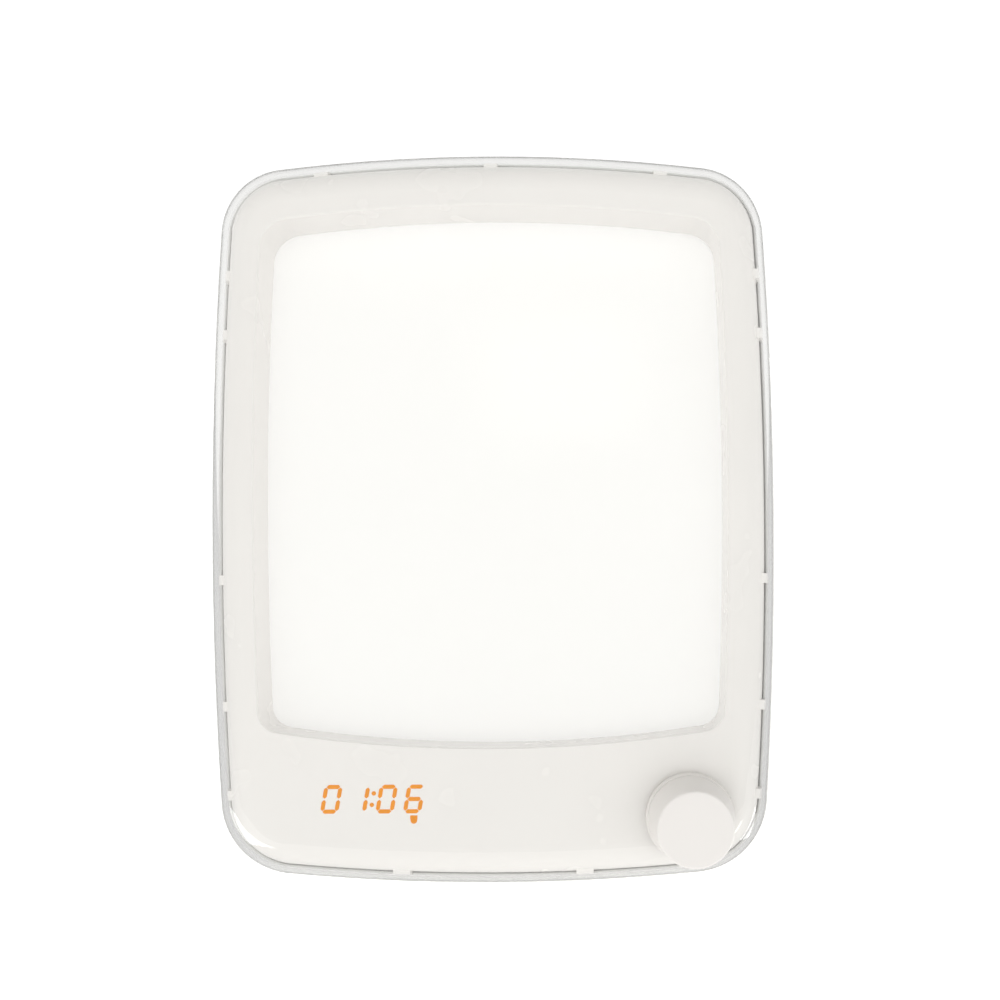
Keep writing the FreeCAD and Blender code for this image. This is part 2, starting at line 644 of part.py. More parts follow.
tray = SCREEN.solid(-TRAY_MARGIN, TRAY_Y, TRAY_BACK_Y)
rim_inner = TRAY_MARGIN - TRAY_THICK
tray = tray.fuse(SCREEN.ring(-TRAY_MARGIN, -rim_inner, DIFFUSER_Y + TRAY_RIM_GAP, TRAY_Y))
tabs = []
tab_holes = []
for side in (-1, 1):
    for (x, z), root in ((TRAY_TOP_POST, SCREEN_TOP_Z - TAB_ROOT),
                         (TRAY_LOW_POST, SCREEN_LOW_Z + TAB_ROOT)):
        low, high = sorted((root, z + (TAB_REACH if z > 0 else -TAB_REACH)))
        tab = block(side * x - TAB_WIDTH / 2, side * x + TAB_WIDTH / 2, TRAY_Y, TRAY_BACK_Y,
                    low, high)
        tabs.append(tab)
        tab_holes.append(rod(side * x, z, M25_HOLE, TRAY_Y - 1, TRAY_BACK_Y + 1))
tray = tray.fuse(tabs).removeSplitter()
for hole in tab_holes:
    tray = tray.cut(hole)
add("back_tray", tray)

strip_y = GUIDE_Y + GUIDE_THICK / 2
strip = block(STRIP_X, STRIP_X + STRIP_THICK, strip_y - STRIP_WIDTH / 2, strip_y + STRIP_WIDTH / 2,
              SCREEN_MID_Z - STRIP_LENGTH / 2, SCREEN_MID_Z + STRIP_LENGTH / 2)
add("led_strips", group(both_sides(strip)))
chips = []
chip_pitch = STRIP_LENGTH / CHIP_COUNT
for k in range(CHIP_COUNT):
    z = SCREEN_MID_Z - STRIP_LENGTH / 2 + (k + 0.5) * chip_pitch
    chip = block(STRIP_X - CHIP_THICK, STRIP_X, strip_y - CHIP_HEIGHT / 2,
                 strip_y + CHIP_HEIGHT / 2, z - CHIP_LENGTH / 2, z + CHIP_LENGTH / 2)
    chips += both_sides(chip)
add("led_chips", group(chips))

# ---- control board ----------------------------------------------------------
board = round_upright(block(BOARD_X0, BOARD_X1, BOARD_Y, BOARD_BACK_Y, BOARD_Z0, BOARD_Z1),
                      BOARD_CORNER)
board_screws = []
for x in BOARD_POST_X:
    for z in BOARD_POST_Z:
        board = board.cut(rod(x, z, M25_HOLE, BOARD_Y - 1, BOARD_BACK_Y + 1))
        board_screws.append(screw(x, z, BOARD_BACK_Y, -1, M25_RADIUS, M25_LENGTH,
                                  M25_HEAD_RADIUS, M25_HEAD_THICK))
add("control_board", board)
add("board_screws", group(board_screws))

add("display_module", block(DISPLAY_X - DISPLAY_WIDTH / 2, DISPLAY_X + DISPLAY_WIDTH / 2,
                            DISPLAY_Y, BOARD_Y - LAYER_GAP,
                            DISPLAY_Z - DISPLAY_HEIGHT / 2, DISPLAY_Z + DISPLAY_HEIGHT / 2))


def slanted(x, z):
    return (x + (z - DISPLAY_Z) * tan(radians(DIGIT_SLANT)), z)


def digit_bars(x):
    """Seven slanted bars of one digit, centred at x."""
    half_w, half_h, half_b = DIGIT_WIDTH / 2, DIGIT_HEIGHT / 2, DIGIT_BAR / 2
    rail = half_w - half_b
    bars = []
    for level in (-1, 0, 1):
        z = DISPLAY_Z + level * (half_h - half_b)
        reach = rail - DIGIT_BAR_GAP
        bars.append((x - reach, x + reach, z - half_b, z + half_b))
    for side in (-1, 1):
        for level in (-1, 1):
            near = DISPLAY_Z + level * (half_b + DIGIT_BAR_GAP)
            far = DISPLAY_Z + level * (half_h - DIGIT_BAR - DIGIT_BAR_GAP)
            z0, z1 = sorted((near, far))
            bars.append((x + side * rail - half_b, x + side * rail + half_b, z0, z1))
    face_y = DISPLAY_Y - SEGMENT_THICK
    for x0, x1, z0, z1 in bars:
        points = [slanted(x0, z0), slanted(x1, z0), slanted(x1, z1), slanted(x0, z1)]
        yield plate(points, face_y, DISPLAY_Y)


segments = []
for k in range(4):
    segments += digit_bars(DISPLAY_X + (k - 1.5) * DIGIT_PITCH)
for level in (-1, 1):
    dot_x, dot_z = slanted(DISPLAY_X, DISPLAY_Z + level * DOT_RISE)
    segments.append(rod(dot_x, dot_z, DOT_RADIUS, DISPLAY_Y - SEGMENT_THICK, DISPLAY_Y))
add("display_segments", group(segments))

board_y = BOARD_BACK_Y
coil = rod(COIL_X, COMPONENT_Z, COIL_RADIUS, board_y, board_y + COIL_HEIGHT)
coil_waist = tube(COIL_X, COMPONENT_Z, COIL_RADIUS + 1, COIL_RADIUS - COIL_FLANGE,
                  board_y + COIL_FLANGE, board_y + COIL_HEIGHT - COIL_FLANGE)
add("driver_coil", coil.cut(coil_waist))
capacitors = []
for side in (-1, 1):
    can_z = COMPONENT_Z + side * (CAP_RADIUS + COMPONENT_GAP / 2)
    can = rod(CAP_X, can_z, CAP_RADIUS, board_y, board_y + CAP_HEIGHT)
    capacitors.append(can.makeFillet(0.6, edges_at(can, board_y + CAP_HEIGHT)))
add("driver_capacitors", group(capacitors))
chip_half = CHIP_SIDE / 2
add("controller_chip", block(CHIP_X - chip_half, CHIP_X + chip_half, board_y, board_y + CHIP_BODY,
                             COMPONENT_Z - chip_half, COMPONENT_Z + chip_half))
plug_half = PLUG_WIDTH / 2
led_plug = block(LED_PLUG_X - plug_half, LED_PLUG_X + plug_half, board_y, board_y + PLUG_HEIGHT,
                 LED_PLUG_Z - PLUG_DEPTH / 2, LED_PLUG_Z + PLUG_DEPTH / 2)
jack_plug = block(JACK_PLUG_X - PLUG_DEPTH / 2, JACK_PLUG_X + PLUG_DEPTH / 2, board_y,
                  board_y + PLUG_HEIGHT, JACK_Z - plug_half, JACK_Z + plug_half)
add("board_connectors", group((led_plug, jack_plug)))

add("tray_connector", block(LED_PLUG_X - plug_half, LED_PLUG_X + plug_half, TRAY_BACK_Y,
                            TRAY_BACK_Y + PLUG_DEPTH, TRAY_PLUG_Z - PLUG_HEIGHT / 2,
                            TRAY_PLUG_Z + PLUG_HEIGHT / 2))
lead_y = TRAY_BACK_Y + PLUG_DEPTH / 2
add("led_lead", lead([V(LED_PLUG_X, board_y + PLUG_HEIGHT, LED_PLUG_Z),
                      V(LED_PLUG_X, lead_y, LED_PLUG_Z),
                      V(LED_PLUG_X, lead_y, TRAY_PLUG_Z - PLUG_HEIGHT / 2)], LEAD_RADIUS))

# ---- encoder, collar and knob -----------------------------------------------
encoder_back = ENCODER_Y + ENCODER_DEPTH
half = ENCODER_SIDE / 2
encoder = block(KNOB_X - half, KNOB_X + half, ENCODER_Y, encoder_back, KNOB_Z - half, KNOB_Z + half)
encoder = encoder.cut(rod(KNOB_X, KNOB_Z, SHAFT_RADIUS + SHAFT_FIT, 0, encoder_back - 0.5))
add("encoder_body", encoder)
bushing_y = ENCODER_Y - BUSHING_LENGTH
add("encoder_bushing", tube(KNOB_X, KNOB_Z, BUSHING_RADIUS, SHAFT_RADIUS + SHAFT_FIT,
                            bushing_y, ENCODER_Y))
nut = hexagon(KNOB_X, KNOB_Z, NUT_RADIUS, BEZEL_Y - NUT_THICK, BEZEL_Y)
add("encoder_nut", nut.cut(rod(KNOB_X, KNOB_Z, BUSHING_RADIUS + 0.02, -9, 9)))

collar = cone(KNOB_X, KNOB_Z, COLLAR_TOP_RADIUS, COLLAR_BASE_RADIUS, -COLLAR_HEIGHT, 0)
collar = collar.makeFillet(0.5, edges_at(collar, -COLLAR_HEIGHT))
skirt = rod(KNOB_X, KNOB_Z, COLLAR_BASE_RADIUS, 0, COLLAR_SKIRT)
skirt = skirt.cut(BODY.solid(0, 0, JOINT_Y, COVER_ROUND))
spigot = rod(KNOB_X, KNOB_Z, COLLAR_SPIGOT, 0, BEZEL_Y - LAYER_GAP)
collar = collar.fuse([skirt, spigot]).removeSplitter()
collar = collar.cut(rod(KNOB_X, KNOB_Z, COLLAR_BORE, -COLLAR_HEIGHT - 1, BEZEL_Y + 1))
add("knob_collar", collar)


def shaft_profile(radius, flat, y0, y1):
    """Round shaft with a flat on its upper side."""
    body = rod(KNOB_X, KNOB_Z, radius, y0, y1)
    return body.cut(block(KNOB_X - 9, KNOB_X + 9, y0 - 1, y1 + 1, KNOB_Z + flat, KNOB_Z + 9))


plain = rod(KNOB_X, KNOB_Z, SHAFT_RADIUS, bushing_y - 0.5, PLUNGER_Y - LAYER_GAP)
keyed = shaft_profile(SHAFT_RADIUS, SHAFT_FLAT, SHAFT_END_Y, bushing_y - 0.5)
add("encoder_shaft", plain.fuse(keyed).removeSplitter())
add("switch_plunger", rod(KNOB_X, KNOB_Z, PLUNGER_RADIUS, PLUNGER_Y, PLUNGER_Y + PLUNGER_THICK))

knob = cone(KNOB_X, KNOB_Z, KNOB_CAP_RADIUS, KNOB_BASE_RADIUS, KNOB_CAP_Y, KNOB_BASE_Y)
knob = knob.makeFillet(KNOB_EDGE, edges_at(knob, KNOB_CAP_Y))
core = cone(KNOB_X, KNOB_Z, KNOB_CAP_RADIUS - KNOB_WALL, KNOB_BASE_RADIUS - KNOB_WALL,
            KNOB_CAP_Y + KNOB_CAP_THICK, KNOB_BASE_Y + 0.01)
hub_y = KNOB_BASE_Y - HUB_LIFT
knob = knob.cut(core).fuse(rod(KNOB_X, KNOB_Z, HUB_RADIUS, KNOB_CAP_Y + 1, hub_y))
webs = []
for k in range(3):
    web = block(KNOB_X - 0.6, KNOB_X + 0.6, KNOB_CAP_Y + 1, hub_y - 2, KNOB_Z, KNOB_Z + 12.2)
    webs.append(web.rotate(V(KNOB_X, 0, KNOB_Z), V(0, 1, 0), 120 * k))
knob = knob.fuse(webs).removeSplitter()
key_r = SHAFT_RADIUS + SHAFT_KEY_FIT
knob = knob.cut(shaft_profile(key_r, SHAFT_FLAT + SHAFT_KEY_FIT, SHAFT_END_Y - 0.1, hub_y + 1))
add("knob_cap", knob)

# ---- rear housing -----------------------------------------------------------
housing_block = BODY.solid(0, JOINT_Y, BACK_Y, 0, HOUSING_ROUND)
housing_hollow = BODY.solid(HOUSING_WALL, JOINT_Y - 1, BACK_Y - HOUSING_WALL, 0,
                            HOUSING_ROUND - HOUSING_WALL)
housing = housing_block.cut(housing_hollow)
lip_outer = COVER_WALL + SLIP_GAP
lip = BODY.ring(lip_outer, LIP_INNER, LIP_Y, JOINT_Y + LIP_ROOT)
root = BODY.ring(HOUSING_WALL - 0.5, LIP_INNER, JOINT_Y, JOINT_Y + LIP_ROOT)
housing = housing.fuse([lip, root]).removeSplitter()

boss_room = BODY.solid(0.5, JOINT_Y, BACK_Y - 0.5, 0, HOUSING_ROUND - 0.5)
rear_bosses = []
rear_cuts = []
housing_screws = []
for side in (-1, 1):
    for screw_x, z in (TOP_SCREW, LOW_SCREW):
        x = side * screw_x
        boss = rod(x, z, BOSS_RADIUS + BOSS_WALL, BOSS_SPLIT_Y + LAYER_GAP, BACK_Y)
        rear_bosses.append(boss.common(boss_room))
        rear_cuts.append(rod(x, z, SINK_RADIUS, BACK_Y - SINK_DEPTH, BACK_Y + 1))
        rear_cuts.append(rod(x, z, M3_HOLE, BOSS_SPLIT_Y - 1, BACK_Y))
        housing_screws.append(screw(x, z, BACK_Y - SINK_DEPTH, -1, M3_RADIUS, M3_LENGTH,
                                    M3_HEAD_RADIUS, M3_HEAD_THICK))
housing = housing.fuse(rear_bosses).removeSplitter()

LEG_END_Z = HINGE_Z - LEG_LENGTH


def leg_outline(margin, top_z, low_z):
    """Tapered leg outline as corner points (x, z)."""
    top_half = LEG_TOP_HALF + margin
    low_half = LEG_LOW_HALF + margin
    return [(-low_half, low_z), (low_half, low_z), (top_half, top_z), (-top_half, top_z)]


landing_top = HINGE_Z + HEEL_HEIGHT + LANDING_MARGIN
landing_low = LEG_END_Z - PAD_RADIUS - LANDING_MARGIN
landing = plate(leg_outline(LANDING_MARGIN, landing_top, landing_low), LANDING_Y, BACK_Y + PAST)
housing = housing.cut(round_upright(landing, LEG_CORNER))

lug_x = LEG_TOP_HALF + 2 * WASHER_SLIP + WASHER_THICK
lug_shapes = []
for x0 in (lug_x, -lug_x - LUG_WIDTH):
    ear = bar(LUG_RADIUS, x0, x0 + LUG_WIDTH, HINGE_Y, HINGE_Z)
    ear_root = block(x0, x0 + LUG_WIDTH, LANDING_Y - 1, HINGE_Y, HINGE_Z - LUG_RADIUS,
                     HINGE_Z + LUG_RADIUS)
    lug_shapes.append(ear.fuse(ear_root))
housing = housing.fuse(lug_shapes).removeSplitter()
rear_cuts.append(bar(PIN_RADIUS, -PIN_HALF - 1, PIN_HALF + 1, HINGE_Y, HINGE_Z))
rear_cuts.append(rod(JACK_X, JACK_Z, JACK_RADIUS + JACK_HOLE_FIT, BACK_Y - PAST, BACK_Y + 1))
for k in range(VENT_COUNT):
    x = (k - (VENT_COUNT - 1) / 2) * VENT_PITCH
    slot = block(x - VENT_WIDTH / 2, x + VENT_WIDTH / 2, BACK_Y - PAST, BACK_Y + 1,
                 VENT_Z1 - VENT_LENGTH, VENT_Z1)
    rear_cuts.append(round_upright(slot, VENT_WIDTH / 2 - 0.01))
for cut in rear_cuts:
    housing = housing.cut(cut)
add("rear_housing", housing)
add("housing_screws", group(housing_screws))

tray_screws = []
for side in (-1, 1):
    for x, z in (TRAY_TOP_POST, TRAY_LOW_POST):
        tray_screws.append(screw(side * x, z, TRAY_BACK_Y, -1, M25_RADIUS, M25_LENGTH,
                                 M25_HEAD_RADIUS, M25_HEAD_THICK))
add("tray_screws", group(tray_screws))

# ---- power inlet ------------------------------------------------------------
jack_front = BACK_Y + JACK_FLANGE_THICK
jack = rod(JACK_X, JACK_Z, JACK_RADIUS, BACK_Y - JACK_LENGTH, BACK_Y)
flange = rod(JACK_X, JACK_Z, JACK_FLANGE_RADIUS, BACK_Y, jack_front)
flange = flange.makeFillet(0.4, edges_at(flange, jack_front))
jack = jack.fuse(flange).removeSplitter()
jack = jack.cut(rod(JACK_X, JACK_Z, JACK_BORE, jack_front - JACK_BORE_DEPTH, jack_front + 1))
add("dc_jack_housing", jack)
add("dc_jack_pin", rod(JACK_X, JACK_Z, JACK_PIN_RADIUS, jack_front - JACK_BORE_DEPTH,
                       jack_front - 0.8))
nut_y = BACK_Y - HOUSING_WALL - LAYER_GAP
jack_nut = hexagon(JACK_X, JACK_Z, JACK_NUT_RADIUS, nut_y - JACK_NUT_THICK, nut_y)
add("dc_jack_nut", jack_nut.cut(rod(JACK_X, JACK_Z, JACK_RADIUS + JACK_HOLE_FIT, 0, BACK_Y)))
jack_plug_y = board_y + PLUG_HEIGHT / 2
add("jack_lead", lead([V(JACK_X, BACK_Y - JACK_LENGTH, JACK_Z), V(JACK_X, jack_plug_y, JACK_Z),
                       V(JACK_PLUG_X - PLUG_DEPTH / 2, jack_plug_y, JACK_Z)], LEAD_RADIUS))

# ---- fold-out stand, drawn folded and then opened about its pin ---------------
leg_half_t = LEG_THICK / 2
leg_y0, leg_y1 = HINGE_Y - leg_half_t, HINGE_Y + leg_half_t
leg = round_upright(plate(leg_outline(0, HINGE_Z, LEG_END_Z), leg_y0, leg_y1), LEG_CORNER,
                    lambda e: e.Vertexes[0].Z < HINGE_Z - 1)
inner_low = LEG_END_Z + LEG_WALL + 2 * PAD_CORE
inner_top = HINGE_Z - KNUCKLE_RADIUS - LEG_WALL
pocket = plate(leg_outline(-LEG_WALL - 0.6, inner_top, inner_low), leg_y0 - 1, leg_y1 - LEG_SKIN)
pocket = round_upright(pocket, 2.0)
leg_ribs = []
rib_half = LEG_SKIN / 4
for k in range(LEG_RIB_COUNT):
    z = inner_low + (k + 1) * (inner_top - inner_low) / (LEG_RIB_COUNT + 1)
    leg_ribs.append(block(-LEG_LOW_HALF, LEG_LOW_HALF, leg_y0 + 1, leg_y1, z - rib_half, z + rib_half))
for x in (-LEG_TOP_HALF / 3, LEG_TOP_HALF / 3):
    leg_ribs.append(block(x - rib_half, x + rib_half, leg_y0 + 1, leg_y1, inner_low - 1, inner_top + 1))
rib_room = plate(leg_outline(-LEG_WALL / 2, inner_top + 0.5, inner_low - 0.5), leg_y0, leg_y1 - 0.5)
leg_ribs = [rib.common(rib_room) for rib in leg_ribs]
leg = leg.cut(pocket)
leg = leg.makeFillet(LEG_EDGE, edges_at(leg, leg_y1, lambda p: p.z < HINGE_Z - 1))
leg = leg.fuse(leg_ribs)
leg = leg.fuse(bar(KNUCKLE_RADIUS, -LEG_TOP_HALF, LEG_TOP_HALF, HINGE_Y, HINGE_Z)).removeSplitter()
leg_tip = block(-PAD_HALF + 3, PAD_HALF - 3, HINGE_Y - PAD_CORE, HINGE_Y + PAD_CORE,
                LEG_END_Z - 1, inner_low - 0.2)


def opened(shape):
    """Copy of a piece of the folded stand, swung out to its stop."""
    turned = shape.copy()
    turned.rotate(V(0, HINGE_Y, HINGE_Z), V(1, 0, 0), STAND_OPEN)
    return turned


leg = opened(leg)
heel = block(-HEEL_HALF, HEEL_HALF, LANDING_Y + HEEL_GAP, HINGE_Y, HINGE_Z, HINGE_Z + HEEL_HEIGHT)
heel = heel.makeChamfer(HINGE_Y - LANDING_Y - HEEL_GAP - 1.2,
                        [e for e in heel.Edges if e.BoundBox.ZMin > HINGE_Z + HEEL_HEIGHT - 0.1
                         and e.BoundBox.YMin > HINGE_Y - 0.1])
leg = leg.fuse(heel).removeSplitter()
pad_room = opened(bar(PAD_RADIUS + 0.02, -PAD_HALF - 0.02, PAD_HALF + 0.02, HINGE_Y, LEG_END_Z))
leg = leg.cut(pad_room).fuse(opened(leg_tip)).removeSplitter()
leg = leg.cut(bar(PIN_RADIUS + PIN_RUN_FIT, -PIN_HALF, PIN_HALF, HINGE_Y, HINGE_Z))
add("stand_leg", leg)

pad = bar(PAD_RADIUS, -PAD_HALF, PAD_HALF, HINGE_Y, LEG_END_Z)
pad = pad.makeFillet(0.8, [e for e in pad.Edges if e.Curve.TypeId == "Part::GeomCircle"])
pad = stood(opened(pad.cut(leg_tip)))
pad_box = pad.BoundBox
desk_room = block(pad_box.XMin - PAST, pad_box.XMax + PAST, pad_box.YMin - PAST,
                  pad_box.YMax + PAST, 0, pad_box.ZMax + PAST)
parts["stand_pad"] = pad.common(desk_room)

add("stand_pin", bar(PIN_RADIUS, -PIN_HALF, PIN_HALF, HINGE_Y, HINGE_Z))
washer_x = LEG_TOP_HALF + WASHER_SLIP
washer = bar(WASHER_RADIUS, washer_x, washer_x + WASHER_THICK, HINGE_Y, HINGE_Z)
washer = washer.cut(bar(PIN_RADIUS + 0.02, 0, PIN_HALF, HINGE_Y, HINGE_Z))
add("stand_washers", group(both_sides(washer)))

# ---- front foot -------------------------------------------------------------
foot = block(-FOOT_HALF, FOOT_HALF, -FOOT_FRONT, FOOT_REAR, 0, FOOT_BLOCK)
foot = foot.makeFillet(FOOT_CORNER, [e for e in foot.Edges
                                     if abs(e.tangentAt(e.FirstParameter).z) > 0.999])
parts["front_foot"] = foot.cut(stood(housing_block))

os.makedirs("parts", exist_ok=True)
for name, shape in parts.items():
    shape.exportStep("parts/" + name + ".step")
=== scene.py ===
import json
from math import ceil, cos, dist, pi, radians, sin, tan

import bmesh
import bpy
from bpy.props import FloatProperty, FloatVectorProperty, IntProperty, PointerProperty
from bpy.types import Operator, Panel, PropertyGroup
from mathutils import Matrix, Vector
from mathutils.geometry import convex_hull_2d


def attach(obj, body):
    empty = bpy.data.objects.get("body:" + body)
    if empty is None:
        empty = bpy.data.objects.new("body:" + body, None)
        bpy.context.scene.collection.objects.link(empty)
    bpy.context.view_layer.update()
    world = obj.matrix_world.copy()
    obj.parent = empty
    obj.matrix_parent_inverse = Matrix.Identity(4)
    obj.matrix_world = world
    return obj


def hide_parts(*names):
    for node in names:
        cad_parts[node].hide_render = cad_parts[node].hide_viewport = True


bl_info = {
    "name": "Light Therapy Lamp",
    "version": (1, 0, 0),
    "blender": (4, 5, 0),
    "location": "3D View > Sidebar > Lamp",
    "description": "Cover, seal, enamel, clock, small parts, finishes and stage of the lamp",
    "category": "Object",
}

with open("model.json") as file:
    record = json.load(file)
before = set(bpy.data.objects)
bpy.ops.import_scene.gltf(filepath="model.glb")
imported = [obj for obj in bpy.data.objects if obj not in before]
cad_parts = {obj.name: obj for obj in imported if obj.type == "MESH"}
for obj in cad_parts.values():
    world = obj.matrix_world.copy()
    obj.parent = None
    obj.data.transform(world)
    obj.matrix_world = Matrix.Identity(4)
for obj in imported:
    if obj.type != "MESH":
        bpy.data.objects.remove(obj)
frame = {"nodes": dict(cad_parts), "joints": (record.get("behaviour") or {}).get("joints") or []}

MM = 0.001
MERGE = 0.001 * MM  # corners closer than this are one corner
LEVEL = 0.1 * MM  # places closer than this are level with each other
SEAM = 0.02 * MM  # widest gap that closes where arcs of an outline meet
ROUND_STEPS = 14  # steps of a rounded edge, and the fewest of an arc
ARC_STEP = 0.055  # longest step of an arc, in radians
ACRYLIC_IOR = 1.49

# ---- the lamp's own upright frame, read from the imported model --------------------
# In it X runs to the viewer's right, Y from the front skin to the back and Z up the
# leaning body from its mid-height. A local frame for flat work has Z out of the face.


def reach(node, way):
    """How far a node reaches along a direction, lowest and highest."""
    along = [vertex.co.dot(way) for vertex in frame["nodes"][node].data.vertices]
    return min(along), max(along)


KNOB_JOINT = next(joint for joint in frame["joints"] if joint["name"] == "knob_turn")
RIGHT = Vector((1.0, 0.0, 0.0))
INWARD = Vector(KNOB_JOINT["axis"]).normalized()
UPWARD = RIGHT.cross(INWARD)
COVER_FRONT = reach("clear_cover", INWARD)[0]
COVER_LOW, COVER_HIGH = reach("clear_cover", UPWARD)
LAMP = Matrix((RIGHT, INWARD, UPWARD)).transposed().to_4x4()
LAMP.translation = INWARD * COVER_FRONT + UPWARD * (COVER_LOW + COVER_HIGH) / 2
LEAN = INWARD.angle(Vector((0.0, 1.0, 0.0)))
OUT_OF_FRONT = Matrix(((1, 0, 0, 0), (0, 0, -1, 0), (0, 1, 0, 0), (0, 0, 0, 1)))
OUT_OF_BACK = Matrix(((-1, 0, 0, 0), (0, 0, 1, 0), (0, 1, 0, 0), (0, 0, 0, 1)))


def level(a, b):
    return abs(a - b) < LEVEL


def box_round(points):
    """Lowest and highest corners of the box round some points."""
    return (Vector(min(point[i] for point in points) for i in range(3)),
            Vector(max(point[i] for point in points) for i in range(3)))


def lamp_solids(node):
    """Lowest and highest corners, in the lamp's frame, of each separate solid of a node."""
    scratch = bmesh.new()
    scratch.from_mesh(frame["nodes"][node].data)
    scratch.transform(LAMP.inverted())
    bmesh.ops.remove_doubles(scratch, verts=scratch.verts, dist=MERGE)
    waiting = set(scratch.verts)
    boxes = []
    while waiting:
        front = [waiting.pop()]
        solid = []
        while front:
            vertex = front.pop()
            solid.append(vertex.co.copy())
            near = {edge.other_vert(vertex) for edge in vertex.link_edges} & waiting
            waiting -= near
            front.extend(near)
        boxes.append(box_round(solid))
    scratch.free()
    return sorted(boxes, key=lambda box: tuple(round(c, 6) for c in box[0]))


def lamp_box(node):
    """Lowest and highest corners of a whole node in the lamp's frame."""
    return box_round([corner for box in lamp_solids(node) for corner in box])


# ---- sizes and colours that a user would change -----------------------------------


def colour(name, description, default):
    return FloatVectorProperty(name=name, description=description, default=default, size=3,
                               min=0.0, max=1.0, subtype="COLOR")


def length(name, description, default):
    return FloatProperty(name=name, description=description, default=default * MM, min=0.0,
                         subtype="DISTANCE", unit="LENGTH", precision=5)


def share(name, description, default):
    return FloatProperty(name=name, description=description, default=default, min=0.0, max=1.0,
                         subtype="FACTOR")


def strength(name, description, default):
    return FloatProperty(name=name, description=description, default=default, min=0.0)


class LampColours(PropertyGroup):
    cover: colour("Cover", "Tint of the clear cover", (0.995, 0.996, 0.99))
    bezel: colour("Bezel", "Moulded bezel round the screen", (0.90, 0.878, 0.858))
    knob: colour("Knob", "Knob cap and collar", (0.885, 0.858, 0.828))
    housing: colour("Housing", "Rear housing and stand leg", (0.83, 0.825, 0.80))
    rubber: colour("Rubber", "Foot and stand pad", (0.115, 0.115, 0.112))
    # This grey is painted shade: it stands for the dark, shaded gap between the clear cover and
    # the bezel.
    seal: colour("Seal", "Seal between cover and bezel", (0.62, 0.62, 0.605))
    digits: colour("Digits", "Lit clock digits", (0.90, 0.305, 0.004))
    board: colour("Board", "Solder mask of the control board", (0.012, 0.085, 0.035))
    black: colour("Black parts", "Black moulded parts", (0.018, 0.018, 0.019))
    nylon: colour("Nylon", "Board connectors", (0.76, 0.73, 0.64))
    steel: colour("Steel", "Screws, shaft and pin", (0.55, 0.56, 0.57))
    copper: colour("Copper", "Winding of the driver coil", (0.72, 0.24, 0.09))


class LampGlow(PropertyGroup):
    screen_middle: colour("Screen middle", "Light of the screen at its middle", (0.95, 0.95, 0.94))
    screen_edge: colour("Screen edge", "Light of the screen beside the strips", (1.0, 1.0, 1.0))
    screen: strength("Screen", "Strength of the screen's light", 0.42)
    chips: strength("Chips", "Strength of the LED chips' light", 1.5)
    digits: strength("Digits", "Strength of the clock's light", 0.85)


class LampDetails(PropertyGroup):
    bar_width: length("Bar width", "Width of a lit clock bar", 1.5)
    bar_reach: length("Bar reach", "Length of an upright bar past its display segment", 1.4)
    bar_spare: length("Bar spare", "Length of a level bar past its display segment", 0.35)
    bar_depth: length("Bar depth", "Thickness of the lit layer on the bezel", 0.08)
    slant: FloatProperty(name="Slant", description="Slant of the digits",
                         default=radians(10.0), subtype="ANGLE", unit="ROTATION")
    spread: FloatProperty(name="Spread", description="Width of a lit digit over its segments",
                          default=1.06, min=0.5)
    clock_shift: FloatVectorProperty(name="Clock shift", size=2, subtype="XYZ", unit="LENGTH",
                                     description="Lit digits from the segments behind them",
                                     default=(-1.0 * MM, 0.28 * MM), precision=5)
    dot: length("Colon dot", "Radius of a dot of the colon", 0.8)
    sign_size: length("Bulb sign", "Height of the bulb sign under the digits", 2.9)
    sign_aside: length("Sign aside", "Bulb sign from the right end of the display", 3.9)
    sign_drop: length("Sign drop", "Bulb sign below the display", 2.3)
    thread_depth: length("Thread depth", "Depth of the screw threads", 0.28)
    wire: length("Winding wire", "Diameter of the coil's wire", 0.42)
    wire_layers: IntProperty(name="Winding layers", description="Layers of wire on the coil",
                             default=2, min=1, max=4)


class LampShells(PropertyGroup):
    cover_round: length("Cover round", "Radius of the clear cover's front edge", 15.0)
    cover_wall: length("Cover wall", "Thickness of the clear cover's side", 2.2)
    cover_skin: length("Cover skin", "Thickness of the clear cover's front", 2.0)
    cover_bore: length("Cover bore", "Radius of the hole for the knob's collar", 10.05)
    bezel_inset: length("Bezel inset", "Side of the bezel from the lamp's outline", 3.8)
    bezel_round: length("Bezel round", "Radius of the bezel's front edge", 12.5)
    bezel_side: length("Bezel side", "Length of the enamel past the rounded edge", 1.3)
    bezel_bore: length("Bezel bore", "Radius of the hole for the encoder's bushing", 3.65)
    recess_edge: length("Recess edge", "Radius of the recess's front edge", 0.6)
    flat_border: length("Flat border", "Width of the narrow faces round a flat face", 0.3)
    cover_trim: length("Cover trim", "Side of the clear cover inside the outline", 0.03)
    # The lip reaches forward into the gap so that its grey, which is painted shade, shows there.
    shade_lip: length("Seal lip", "Reach of the seal's lip in front of its body", 2.0)
    seal_room: length("Seal room", "Gap between the seal's lip and the clear cover", 0.1)
    seal_edge: length("Seal edge", "Rounding of the edges of the seal's lip", 0.25)
    guide_margin: length("Guide margin", "Reach of the light guide past the opening", 0.5)
    enamel: length("Enamel", "Thickness of the bezel's gloss enamel", 0.04)
    recess_enamel: length("Recess enamel", "Thickness of the enamel in the recess", 0.1)
    enamel_gap: length("Enamel gap", "Gap between the recess's enamel and the screen", 0.06)


